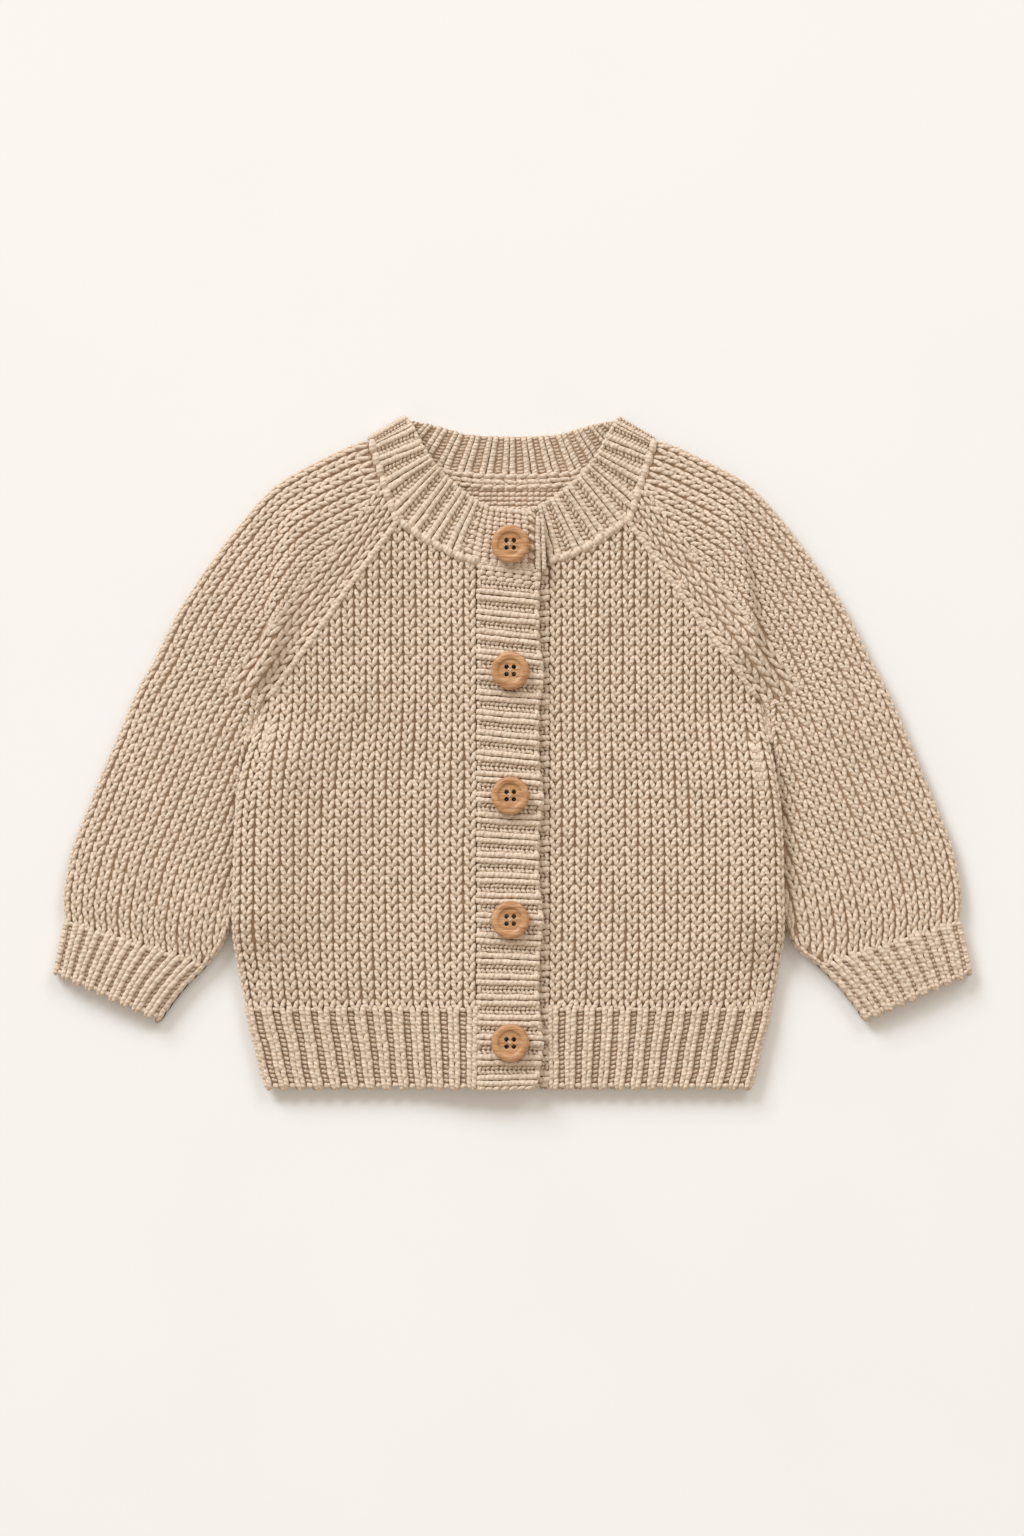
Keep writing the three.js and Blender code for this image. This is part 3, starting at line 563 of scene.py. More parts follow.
@dataclass(frozen=True)
class GrainForm:
    """The mesh of one grain of yarn: a spindle of rings between two poles."""

    rings: int
    sides: int

    def template(self) -> tuple[Array, Array, Array, Array]:
        """Ring k stands at half of one less the cosine of its turn, with the root of its sine as radius.

        Returns:
            Points as share of the length, sideways and up; corners; sizes; uv of each corner.
        """
        turn = math.pi * np.arange(1, self.rings + 1) / (self.rings + 1)
        share = np.repeat(0.5 - 0.5 * np.cos(turn), self.sides)
        radius = np.repeat(np.sin(turn) ** 0.75, self.sides)
        angle = np.tile(2 * math.pi * (np.arange(self.sides) + 0.5) / self.sides, self.rings)
        body = np.stack([share, radius * np.cos(angle), radius * np.sin(angle)], axis=-1)
        points = np.concatenate([[[0.0, 0.0, 0.0]], body, [[1.0, 0.0, 0.0]]])
        ring = 1 + np.arange(self.rings * self.sides).reshape(self.rings, self.sides)
        following = np.roll(ring, -1, axis=1)
        last = len(points) - 1
        fan = np.arange(self.sides)
        start = np.stack([np.zeros(self.sides, int), following[0], ring[0]], axis=-1)
        end = np.stack([np.full(self.sides, last), ring[-1], following[-1]], axis=-1)
        quads = ring_quads(ring)
        corners = np.concatenate([start.ravel(), end.ravel(), quads.ravel()])
        sizes = np.concatenate([np.full(2 * self.sides, 3), np.full(len(quads), 4)])
        turns = np.stack([fan, fan + 1], axis=-1) / self.sides
        around = np.concatenate([
            np.stack([turns.mean(axis=1), turns[:, 1], turns[:, 0]], axis=-1).ravel(),
            np.stack([turns.mean(axis=1), turns[:, 0], turns[:, 1]], axis=-1).ravel(),
            np.tile(np.stack([turns[:, 0], turns[:, 1], turns[:, 1], turns[:, 0]], axis=-1),
                    (self.rings - 1, 1)).ravel(),
        ])
        return points, corners, sizes, np.stack([points[corners, 0], around], axis=-1)


FULL_GRAIN = GrainForm(rings=5, sides=6)
SMALL_GRAIN = GrainForm(rings=3, sides=5)
PLAIN_GRAIN = GrainForm(rings=3, sides=4)


@dataclass(frozen=True)
class Leg:
    """One leg of a stitch in its own frame: across the column, along it towards the cast-off, and depth.

    Feet and tips are in millimetres from the middle of the stitch. middle and ends are depths of
    the leg's centre line below the outside of the piece. taper widens the tip and narrows the foot
    by that share, and a shingle above zero lifts the tip and sinks the foot by that much.
    """

    foot: tuple[float, float]
    tip: tuple[float, float]
    half_width: float
    half_height: float
    middle: float
    ends: float
    bow: float = 0.0
    paired: bool = True
    # tone scales a grain's colour: below one it is painted shade for grains low in the furrows, above one a
    # painted highlight.
    tone: float = 1.0
    taper: float = 0.0
    shingle: float = 0.0

    @property
    def length(self) -> float:
        """Straight distance from foot to tip."""
        return math.dist(self.foot, self.tip)


# A stockinette stitch is a V whose point is towards the cast-on edge
KNIT_LEG = Leg(foot=(-0.12, -3.3), tip=(2.15, 2.75), half_width=1.17, half_height=1.05,
               middle=0.7, ends=1.25, bow=0.27, taper=0.08, shingle=-0.2)
# The stitches of a rib stand closer and straighter
RIB_LEG = Leg(foot=(0.7, -3.9), tip=(1.75, 3.5), half_width=1.55, half_height=1.35,
              middle=0.45, ends=1.0, bow=0.12, shingle=-0.15)
# In a stretched rib the strands run on straight, one stitch into the next
STRETCHED_LEG = Leg(foot=(1.0, -4.1), tip=(1.7, 4.1), half_width=1.45, half_height=1.3,
                    middle=0.45, ends=0.95, bow=0.1)
# A purl bump lies across its column, in the shade of the ribs, and its tone darkens it as painted shade
PURL_BUMP = Leg(foot=(-1.8, -0.4), tip=(1.8, 0.4), half_width=0.95, half_height=0.8,
                middle=1.5, ends=1.8, paired=False, tone=0.92)
# Where the fabric is stretched the purl side shows as ragged rows of small crossing bumps, their tone a
# little darker as painted shade
CROSSED_BUMP = Leg(foot=(0.1, -1.15), tip=(2.1, 1.15), half_width=1.0, half_height=0.95,
                   middle=0.95, ends=1.25, tone=0.95)
# Undersides are pressed flat by the surface that they rest on
FLAT_LEG = replace(KNIT_LEG, half_height=0.9, middle=1.0, ends=1.8)
FLAT_RIB_LEG = replace(RIB_LEG, half_height=0.9, middle=1.0, ends=1.8)
FLAT_BUMP = replace(PURL_BUMP, half_height=0.6, middle=1.3, ends=1.7)


def skew(place: Place, column: Array, row: Array, column_width: float, row_height: float) -> Array:
    """Slope that sets each stitch square to its column, where the rows cross the columns aslant.

    It is minus the part of a step across that runs along the column, over the square of a step
    along it, so that adding it to the way along leaves a step across with no such part.

    Args:
        place: the cloth's surface, by column, row and depth.
        column: columns of the stitches' middles.
        row: rows of the stitches' middles.
        column_width: millimetres in one column.
        row_height: millimetres in one row.

    Returns:
        Millimetres along the column for each millimetre across it.
    """
    step = 0.2
    depth = np.full(column.shape, 1.0)

    def at(columns: float, rows: float) -> Array:
        """The place a little way off in columns and rows."""
        return np.stack(place(column + columns, row + rows, depth), axis=-1)

    across = (at(step, 0) - at(-step, 0)) / (2 * step * column_width)
    along = (at(0, step) - at(0, -step)) / (2 * step * row_height)
    slope = -np.sum(across * along, axis=-1) / np.maximum(np.sum(along * along, axis=-1), 0.1)
    return np.clip(slope, -0.8, 0.8)


@dataclass
class Yarn:
    """All the grains of one piece."""

    seed: int
    ply_pitch: float = SpunWool.ply_pitch
    wander: float = 0.17
    parts: list[MeshData] = field(default_factory=list)

    def __post_init__(self) -> None:
        """Starts the piece's own run of small irregularities."""
        self.random = np.random.default_rng(self.seed)
        self.phase = self.random.random(2) * 2 * math.pi

    def knit(self, place: Place, column: Array, row: Array, leg: Leg, form: GrainForm = FULL_GRAIN,
             column_width: float = STITCH_WIDTH, row_height: float = ROW_HEIGHT) -> None:
        """Adds one stitch at each place.

        A point at share s of a leg stands on the line from foot to tip, bowed by the sine of s,
        and sinks from the middle depth to the end depth with a power of 2s - 1. The ring's
        sideways part lies square to the leg. place then bends all of it onto the cloth.

        Args:
            place: the cloth's surface, by column, row and depth.
            column: columns of the stitches' middles.
            row: rows of the stitches' middles.
            leg: the leg that is repeated, and mirrored where the stitch is a pair.
            form: the mesh of a grain.
            column_width: millimetres in one column.
            row_height: millimetres in one row.
        """
        count = len(column)
        if count == 0:
            return
        signs = (1.0, -1.0) if leg.paired else (1.0,)
        points, corners, sizes, uv = form.template()
        share, sideways, up = points.T
        sign = np.repeat(signs, count)[:, None]
        column, row = np.tile(column, len(signs))[:, None], np.tile(row, len(signs))[:, None]
        jitter = self.random.normal(size=(len(column), 5)).clip(-2.0, 2.0)
        wide = leg.half_width * (1 + 0.05 * jitter[:, 0:1])
        sunk = 0.08 * jitter[:, 1:2]
        turned = 0.16 * jitter[:, 2:3]
        foot_across, foot_along = leg.foot
        tip_across, tip_along = leg.tip
        step_across = sign * (tip_across - foot_across) + turned
        step_along = tip_along - foot_along
        length = np.hypot(step_across, step_along)
        centre_across = sign * (foot_across + leg.bow * np.sin(math.pi * share)) + step_across * share
        sideways = sideways * (1 + leg.taper * (2 * share - 1))
        centre_along = foot_along + step_along * share + 0.14 * jitter[:, 3:4]
        across = centre_across + wide * sideways * step_along / length
        along = centre_along - wide * sideways * step_across / length
        sink = np.abs(2 * share - 1) ** 2.6
        depth = leg.middle + (leg.ends - leg.middle) * sink - leg.half_height * up + np.abs(sunk) \
            - leg.shingle * (2 * share - 1)
        across = across + self.wander * (np.sin(0.45 * row + 1.3 * column + self.phase[0])
                                         + np.sin(0.17 * row - 0.6 * column + self.phase[1]))
        if leg.paired:
            along = along + skew(place, column, row, column_width, row_height) * across
        x, y, z = place(column + across / column_width, row + along / row_height, depth)
        z = np.maximum(z, LOWEST)
        total, per = x.shape
        # Each grain's colour scale: a little random change times the leg's tone, which holds painted shade.
        tone = np.repeat(leg.tone * (1 + 0.028 * jitter[:, 4]), per)
        # Height on the grain, lower towards the sunk ends, which picks the painted shade of the wool's
        # ramp.
        rise = np.clip((up + 1) * 0.5 * (1 - 0.4 * sink) + 0.14, 0.0, 1.0)
        corner_total = (corners + per * np.arange(total)[:, None]).ravel()
        # Along the yarn a ply comes round once in a pitch; round it, one turn is one ply.
        bands = leg.length / self.ply_pitch
        flow = (uv[:, 0] * bands + uv[:, 1])[None, :] + self.random.random((total, 1))
        map_uv = np.stack([flow.ravel() * WAVE_STEP, np.tile(uv[:, 1], total)], axis=-1)
        self.parts.append(MeshData(
            np.stack([x.ravel(), y.ravel(), z.ravel()], axis=-1), corner_total,
            np.tile(sizes, total), map_uv,
            {"tone": tone, "rise": np.tile(rise, total)}).outward())

    def data(self) -> MeshData:
        """Every grain so far as one mesh."""
        return join(self.parts)


def grid(columns: Array, rows: Array) -> tuple[Array, Array]:
    """Every pair of a column and a row, as two flat lists."""
    across, along = np.meshgrid(columns, rows)
    return across.ravel(), along.ravel()


# ---- The body's shape ----


@dataclass(frozen=True)
class BodyShape:
    """Outline and heights of the body, in the same numbers as the solids."""

    sides: tuple = ((-160, 107), (-150, 109.8), (-143.3, 112), (-132.5, 114.3), (-122.6, 117),
                    (-114.6, 118.6), (-103.3, 121), (-83.5, 124), (-64, 124), (-34.9, 123.3),
                    (-10.6, 120.6), (11, 115.2), (22, 113))
    front_neck: tuple = ((0, 83.5), (15.5, 86), (26, 89.4), (36.3, 94.7), (43.5, 99.7), (52, 105.5))
    back_neck: tuple = ((0, 124), (14, 124.4), (28, 125.8), (46, 131))
    side_lift: float = 6.5
    centre_shift: float = -1.8
    loft: float = 2.0
    seam_bulk: float = 1.9

    def half_width(self, y: Array) -> Array:
        """Half width of the body about its own centre at a height."""
        return TableCurve(self.sides)(y)

    def centre(self, y: Array) -> Array:
        """The lower body lies a little to one side of the neck."""
        return self.centre_shift * smooth_between(26, -14, y)

    def lift(self, inward: Array, y: Array) -> Array:
        """How far the sides ride up over the sleeves, by the distance in from the side."""
        up = smooth_between(22, -14, y) * (1 - smooth_between(-72, -101, y))
        return self.side_lift * up * smooth_between(44, 7, inward)

    def raglan_distance(self, x: Array, y: Array) -> Array:
        """Distance from the front raglan seam on one side."""
        run = np.array(UNDERARM) - np.array(NECK_CORNER)
        run = run / np.hypot(*run)
        return np.abs((x - NECK_CORNER[0]) * run[1] - (y - NECK_CORNER[1]) * run[0])

    def front_surface(self, side: int, x: Array, y: Array) -> Array:
        """Height of the upper face of the front layer.

        Two walls and a gap, plus the climb onto the lower band on the right front, the bulk of
        the raglan seam, the swell inside the side fold and the lift of the sides.

        Args:
            side: -1 for the right front, +1 for the left.
            x: places in plan.
            y: places in plan.

        Returns:
            Millimetres above the ground.
        """
        inward = self.half_width(y) - np.abs(x - self.centre(y))
        climb = BAND_RISE * smooth_between(-50, -13, x) if side < 0 else 0.0
        bulk = self.seam_bulk * smooth_between(30, 0, self.raglan_distance(np.abs(x), y)) \
            * smooth_between(26, 48, y)
        edge = (EDGE_TOP - FRONT_TOP) * smooth_between(44, FOLD_RADIUS, inward)
        loft = self.loft * smooth_between(80, 36, inward) * smooth_between(0, 20, inward) \
            * smooth_between(70, 22, y) * smooth_between(-138, -100, y)
        return FRONT_TOP + edge + climb + bulk + loft + self.lift(inward, y)

    def raglan_height(self, x: Array, corner: tuple[float, float]) -> Array:
        """Height of a raglan seam over a distance from the centre."""
        share = (x - corner[0]) / (UNDERARM[0] - corner[0])
        return corner[1] + (UNDERARM[1] - corner[1]) * share

    def front_top(self, x: Array) -> Array:
        """Top edge of a front: the neck curve, then the raglan line."""
        neck = TableCurve(self.front_neck)(x)
        return np.where(x < NECK_CORNER[0], neck, self.raglan_height(x, NECK_CORNER))

    def back_top(self, x: Array) -> Array:
        """Top edge of the back: the neck curve, then the raglan line."""
        neck = TableCurve(self.back_neck)(x)
        return np.where(x < BACK_CORNER[0], neck, self.raglan_height(x, BACK_CORNER))


BODY_SHAPE = BodyShape()


@dataclass
class KnitPiece:
    """One knitted piece: its base cloth, its stitches and what they stand for."""

    node: str
    slot: str
    flat: tuple[float, float]
    area: float | None = None

    def cloth(self) -> MeshData:
        """The base cloth under the stitches."""
        raise NotImplementedError

    def stitches(self) -> Yarn:
        """The yarn that shows."""
        raise NotImplementedError

    def build(self) -> None:
        # The base cloth shows only deep in the gaps and is coloured as painted shade.
        base = self.cloth().make(self.node + "_cloth", Finish.BASE, welded=True)
        yarn = self.stitches().data().make(self.node + "_stitches", Finish.YARN)
        for piece in (base, yarn):
            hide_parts(self.node)


@dataclass
class FrontPanel(KnitPiece):
    """A front in stockinette, from the hem rib to the raglan and neck edges."""

    side: int = 1
    side_columns: int = 2
    mean_width: float = 97.0

    @property
    def seam(self) -> float:
        """Distance of the band's seam from the centre."""
        return 16.0 if self.side < 0 else 16.4

    def width(self, y: Array) -> Array:
        """Flat width from the band seam to the start of the side fold at a height."""
        return BODY_SHAPE.half_width(y) - FOLD_RADIUS + self.side * BODY_SHAPE.centre(y) \
            - self.seam - SEAM_GAP / 2

    def surface(self, spread: Array, fold: Array, y: Array, depth: Array) -> tuple[Array, Array, Array]:
        """Place by share of the way from band seam to side fold, angle round the fold, height and depth."""
        flat = BODY_SHAPE.half_width(y) - FOLD_RADIUS
        seam_share = (self.side * (self.seam + SEAM_GAP / 2) - BODY_SHAPE.centre(y)) / flat
        share = mix(seam_share, self.side, spread)
        x = BODY_SHAPE.centre(y) + share * flat
        z = BODY_SHAPE.front_surface(self.side, x, y) - depth
        lift = BODY_SHAPE.lift(np.full(np.shape(y), FOLD_RADIUS), y)
        round_z = lift + FOLD_RADIUS + (FOLD_RADIUS - depth) * np.cos(fold)
        folded_x = x + self.side * (FOLD_RADIUS - depth) * np.sin(fold)
        return np.where(fold > 0, folded_x, x), y + 0 * x, np.where(fold > 0, round_z, z)

    def distance(self, column: Array, y: Array) -> Array:
        """Distance of a column from the band seam: the gauge times the root of the width's growth."""
        return column * STITCH_WIDTH * np.sqrt(self.width(y) / self.mean_width)

    def place(self, column: Array, row: Array, depth: Array) -> tuple[Array, Array, Array]:
        """Columns stand beside the band and run on round the side fold; rows rise from the hem."""
        y = HEM_TOP + row * ROW_HEIGHT
        width, distance = self.width(y), self.distance(column, y)
        fold = np.clip((distance - width) / FOLD_RADIUS, 0, FRONT_TURN)
        return self.surface(np.clip(distance / width, -0.01, 1.0), fold, y, depth)

    def side_place(self, column: Array, row: Array, depth: Array) -> tuple[Array, Array, Array]:
        """Columns are counted in from the outermost line of the side fold, and follow it."""
        y = HEM_TOP + row * ROW_HEIGHT
        inward = column * STITCH_WIDTH
        fold = np.clip(math.pi / 2 - inward / FOLD_RADIUS, 0, 0.9 * math.pi)
        return self.surface(1 - np.maximum(inward - QUARTER, 0) / self.width(y), fold, y, depth)

    def cloth(self) -> MeshData:
        """Each column rises evenly from the hem to its own top edge."""
        spread = np.concatenate([np.linspace(0, 1, 45), np.ones(4)])[None, :]
        fold = np.concatenate([np.zeros(45), np.linspace(0, math.pi / 2, 5)[1:]])[None, :]
        share = np.linspace(0, 1, 61)[:, None]
        reach = mix(self.seam, UNDERARM[0] - FOLD_RADIUS, spread) + FOLD_RADIUS * np.sin(fold)
        base = HEM_TOP + SEAM_GAP / 2
        height = base + (BODY_SHAPE.front_top(reach) - SEAM_GAP - base) * share
        code = spread + fold

        def place(across: Array, y: Array, depth: Array) -> tuple[Array, Array, Array]:
            """across runs on past one as the angle round the fold."""
            return self.surface(np.minimum(across, 1.0), np.maximum(across - 1.0, 0.0), y, depth)

        return closed_wall(place, code, height, BASE_DEPTH, KNIT_WALL)

    def stitches(self) -> Yarn:
        """Upright columns, cut off where they meet the neck and raglan edges."""
        yarn = Yarn(seed=11 + self.side)
        rows = int((NECK_CORNER[1] - HEM_TOP) / ROW_HEIGHT) + 1
        column, row = grid(np.arange(20) + 0.5, np.arange(rows) + FIRST_ROW)
        x, y, _ = self.place(column, row, np.zeros(column.shape))
        beside = np.where(y < UNDERARM[1] - 3.0, self.side_columns * STITCH_WIDTH - 2.0, 0.0)
        keep = (y < BODY_SHAPE.front_top(np.abs(x)) + 0.6) \
            & (self.distance(column, y) < self.width(y) + QUARTER - beside)
        yarn.knit(self.place, column[keep], row[keep], KNIT_LEG)
        rows = np.arange(int((UNDERARM[1] - HEM_TOP) / ROW_HEIGHT) + 1) + FIRST_ROW
        yarn.knit(self.side_place, *grid(np.arange(self.side_columns) + 0.5, rows),
                  replace(KNIT_LEG, middle=KNIT_LEG.middle - 0.2))
        rope = Leg(foot=(-0.9, -5.2), tip=(0.9, 5.2), half_width=1.4, half_height=1.4,
                   middle=0.2, ends=1.3, paired=False, shingle=-0.3)
        SeamStrip((NECK_CORNER, UNDERARM), self.side, 5.2).add_to(yarn, rope, -0.9)
        # Below the underarm the yarn of the join fills the crease between body and sleeve.
        heights = np.linspace(21.0, 4.0, 6)
        edge = BODY_SHAPE.half_width(heights) + self.side * BODY_SHAPE.centre(heights) + 0.4
        join_line = ((108.6, 29.0), (111.6, 24.2), *zip(edge.tolist(), heights.tolist()))
        SeamStrip(join_line, self.side, 4.3).add_to(yarn, replace(rope, middle=3.2, ends=3.6), 0.0)
        return yarn


@dataclass
class BackPanel(KnitPiece):
    """The back in stockinette. Its right side faces down; its purl side shows in the neck."""

    columns: int = 43

    def surface(self, share: Array, fold: Array, y: Array, depth: Array) -> tuple[Array, Array, Array]:
        """Place by share of the flat half width, angle round the side fold, height and depth."""
        half = BODY_SHAPE.half_width(y)
        flat = half - FOLD_RADIUS
        x = BODY_SHAPE.centre(y) + share * flat
        lift = BODY_SHAPE.lift(half - np.abs(share) * flat, y)
        round_z = lift + FOLD_RADIUS - (FOLD_RADIUS - depth) * np.cos(fold)
        folded_x = x + np.sign(share) * (FOLD_RADIUS - depth) * np.sin(fold)
        return np.where(fold > 0, folded_x, x), y + 0 * x, np.where(fold > 0, round_z, lift + depth)

    def place(self, column: Array, row: Array, depth: Array) -> tuple[Array, Array, Array]:
        """Columns are counted from the centre, rows from the hem."""
        y = HEM_TOP + row * ROW_HEIGHT
        flat = BODY_SHAPE.half_width(y) - FOLD_RADIUS
        across = column * STITCH_WIDTH
        fold = np.clip((np.abs(across) - flat) / FOLD_RADIUS, 0, 0.5 * math.pi)
        return self.surface(np.clip(across / flat, -1, 1), fold, y, depth)

    def cloth(self) -> MeshData:
        """Each column rises evenly from the hem to its own top edge."""
        turn = np.linspace(0, math.pi / 2, 5)[1:]
        code = np.concatenate([-1 - turn[::-1], np.linspace(-1, 1, 71), 1 + turn])[None, :]
        share = np.linspace(0, 1, 61)[:, None]
        fold = np.maximum(np.abs(code) - 1, 0)
        reach = np.minimum(np.abs(code), 1) * (UNDERARM[0] - FOLD_RADIUS) + FOLD_RADIUS * np.sin(fold)
        base = HEM_TOP + SEAM_GAP / 2
        height = base + (BODY_SHAPE.back_top(reach) - SEAM_GAP - base) * share

        def place(across: Array, y: Array, depth: Array) -> tuple[Array, Array, Array]:
            """across runs on past one, on either side, as the angle round the fold."""
            return self.surface(np.clip(across, -1, 1), np.maximum(np.abs(across) - 1, 0), y, depth)

        return closed_wall(place, code, height, FLAT_BASE_DEPTH, KNIT_WALL - 0.3)

    def stitches(self) -> Yarn:
        """Stockinette below, and purl bumps on the inside where the neck is open."""
        yarn = Yarn(seed=21)
        rows = int((BACK_CORNER[1] - HEM_TOP) / ROW_HEIGHT) + 1
        half = self.columns // 2
        column, row = grid(np.arange(-half - 1, half + 2, dtype=float), np.arange(rows) + FIRST_ROW)
        x, y, _ = self.place(column, row, np.zeros(column.shape))
        reach = BODY_SHAPE.half_width(y) - FOLD_RADIUS + QUARTER
        keep = (y < BODY_SHAPE.back_top(np.abs(x)) - 1.2) & (np.abs(column) * STITCH_WIDTH < reach)
        yarn.knit(self.place, column[keep], row[keep], FLAT_LEG, PLAIN_GRAIN)
        # Purl side: two bumps to a stitch, each row set half a stitch along from the last.
        bump = Leg(foot=(-1.7, -0.5), tip=(1.7, 0.5), half_width=1.05, half_height=-0.95,
                   middle=KNIT_WALL - 0.35, ends=KNIT_WALL - 1.1, paired=False)
        first = int((100 - HEM_TOP) / ROW_HEIGHT)
        column, row = grid(np.arange(-10, 10.5, 0.5), np.arange(first * 2, rows * 2) / 2 + 0.25)
        column = column + 0.25 * np.round(row * 2 % 2)
        x, y, _ = self.place(column, row, np.zeros(column.shape))
        keep = (y < BODY_SHAPE.back_top(np.abs(x)) + 0.6) & (y > 100)
        yarn.knit(self.place, column[keep], row[keep], bump)
        return yarn


@dataclass
class FrontHem(KnitPiece):
    """One-by-one rib below a front."""

    side: int = 1
    ribs: int = 12
    rows: int = 9
    rib_pitch: float = 8.7

    def place(self, column: Array, row: Array, depth: Array) -> tuple[Array, Array, Array]:
        """Columns are ribs from the band seam outwards and round the side fold."""
        panel = FrontPanel("", "", (0, 0), side=self.side)
        spread = np.clip(column / self.ribs, -0.01, 1.0)
        fold = np.clip((column - self.ribs) * self.rib_pitch / FOLD_RADIUS, 0, FRONT_TURN)
        height = (HEM_TOP - HEM_BOTTOM - SEAM_GAP / 2) / self.rows
        return panel.surface(spread, fold, HEM_BOTTOM + row * height, depth)

    def cloth(self) -> MeshData:
        """A plain strip with its outer edge turned round the side fold."""
        turn = np.linspace(0, 0.59, 5)[1:]
        across = np.concatenate([np.linspace(0, self.ribs, 49), self.ribs + turn])[None, :]
        return closed_wall(self.place, across, np.linspace(0.25, self.rows, 13)[:, None],
                           BASE_DEPTH + 0.1, RIB_SINK + RIB_WALL)

    def stitches(self) -> Yarn:
        """Raised knit columns on the whole numbers, purl bumps between them, and cast-on loops."""
        yarn = Yarn(seed=31 + self.side)
        pitch = self.rib_pitch
        rows = np.arange(self.rows) + 0.5
        yarn.knit(self.place, *grid(np.arange(0.25, self.ribs + 1), rows), RIB_LEG, column_width=pitch)
        yarn.knit(self.place, *grid(np.arange(self.ribs) + 0.75, half_rows(self.rows)), PURL_BUMP,
                  column_width=pitch)
        nubs(yarn, self.place, np.arange(self.ribs) + 0.75, self.rows, pitch)
        cast_on(yarn, self.place, np.arange(0.25, self.ribs + 0.5, 0.5), 0.16, pitch)
        return yarn


def half_rows(rows: int) -> Array:
    """Two purl bumps to a row, because each stitch shows the top and the foot of its loop."""
    return np.arange(2 * rows) / 2 + 0.25


def cast_on(yarn: Yarn, place: Place, columns: Array, row: float, pitch: float) -> None:
    """Adds a rounded edge loop at each column.

    Args:
        yarn: the piece's yarn.
        place: the piece's surface.
        columns: where the loops are.
        row: the edge's row.
        pitch: millimetres in one column.
    """
    loop = Leg(foot=(-2.3, 0.3), tip=(2.3, -0.3), half_width=1.2, half_height=1.15,
               middle=1.0, ends=1.5, paired=False)
    yarn.knit(place, columns, np.full(columns.shape, row), loop, column_width=pitch)


def nubs(yarn: Yarn, place: Place, columns: Array, row: float, pitch: float) -> None:
    """Adds the round bump at the top of each furrow, where the rib begins.

    Args:
        yarn: the piece's yarn.
        place: the piece's surface.
        columns: where the furrows are.
        row: the rib's top row.
        pitch: millimetres in one column.
    """
    # Its tone draws the raised nub a little lighter, as a painted highlight.
    nub = Leg(foot=(-1.8, -0.3), tip=(1.8, 0.3), half_width=1.25, half_height=1.2,
              middle=0.9, ends=1.4, paired=False, tone=1.03)
    yarn.knit(place, columns, np.full(columns.shape, row - 0.25), nub, column_width=pitch)


@dataclass
class BackHem(KnitPiece):
    """One-by-one rib below the back, facing down."""

    ribs: int = 27
    rows: int = 9
    rib_pitch: float = 8.6

    def place(self, column: Array, row: Array, depth: Array) -> tuple[Array, Array, Array]:
        """Columns are ribs counted from the centre."""
        panel = BackPanel("", "", (0, 0))
        half = self.ribs / 2
        fold = np.clip((np.abs(column) - half) * self.rib_pitch / FOLD_RADIUS, 0, 0.5 * math.pi)
        height = (HEM_TOP - HEM_BOTTOM - SEAM_GAP / 2) / self.rows
        return panel.surface(np.clip(column / half, -1, 1), fold, HEM_BOTTOM + row * height, depth)

    def cloth(self) -> MeshData:
        """A plain strip turned up round both side folds."""
        half = self.ribs / 2
        turn = np.linspace(0, 0.6, 5)[1:]
        across = np.concatenate([-half - turn[::-1], np.linspace(-half, half, 71), half + turn])[None, :]
        return closed_wall(self.place, across, np.linspace(0, self.rows, 13)[:, None],
                           FLAT_BASE_DEPTH, RIB_WALL)

    def stitches(self) -> Yarn:
        """Flattened knit columns with purl bumps between them."""
        yarn = Yarn(seed=41)
        half = self.ribs // 2
        rows = np.arange(self.rows) + 0.5
        yarn.knit(self.place, *grid(np.arange(-half, half + 1.0), rows), FLAT_RIB_LEG, PLAIN_GRAIN,
                  column_width=self.rib_pitch)
        yarn.knit(self.place, *grid(np.arange(-half - 0.5, half + 1.0), rows), FLAT_BUMP, PLAIN_GRAIN,
                  column_width=self.rib_pitch)
        return yarn


# ---- Sleeves and cuffs ----


@dataclass(frozen=True)
class SleeveShape:
    """Sections of a sleeve from neck to cuff, in the same numbers as the solids.

    Rows: outer fold x and y, share of the raglan seam or height of the inner fold, place and
    height of the cap's fold, and the dome.
    """

    raglan: tuple = (
        (65.7, 141, 0.006, 0.78, 0, 0.3), (73, 138.6, 0.125, 0.78, 0, 0.8),
        (82, 134.4, 0.25, 0.76, 0.5, 1.2), (96.3, 127.1, 0.38, 0.74, 1.7, 1.4),
        (109.6, 118.1, 0.5, 0.66, 3.6, 1.2), (125.3, 100.1, 0.63, 0.42, 5.4, 0.6),
        (138.8, 82.1, 0.75, 0.21, 5.5, 0.4), (150.5, 64.1, 0.875, 0.1, 3.9, 0.7),
        (161.6, 42, 1, 0.05, 1.2, 1))
    arm: tuple = (
        (169.4, 28.1, 10, 0, 0, 1.6), (177.1, 10.1, -9, 0, 0, 1.6), (184.7, -7.9, -27, 0, 0, 1.6),
        (191.9, -25.9, -45, 0, 0, 1.7), (198, -41, -61, 0, 0, 1.8), (201.2, -55, -77, 0, 0, 1.8),
        (202.6, -66, -88, 0, 0, 1.6))
    clearance: tuple = ((-90, 7.2), (-80, 1.4), (-70, -1.6), (-60, -2.4), (-20, -2.2), (-8, -0.9),
                        (2, 0.3), (12, 0.7), (22, 0.7))
    sleeve_end: tuple = (201.6, -75.0, 137.0, -95.0, 1.2)
    cuff_end: tuple = (206.8, -98.6, 158.6, -120.2, 0.6)
    cuff_swell: float = 1.6
    ridge_fall: float = 0.125

    def seam_place(self, corner: tuple[float, float], share: Array) -> tuple[Array, Array]:
        """A place on a raglan seam, just on the sleeve's side of it."""
        run = np.array(UNDERARM) - np.array(corner)
        away = np.array([-run[1], run[0]]) / np.hypot(*run) * SEAM_GAP
        return corner[0] + run[0] * share + away[0], corner[1] + run[1] * share + away[1]


SLEEVE_SHAPE = SleeveShape()


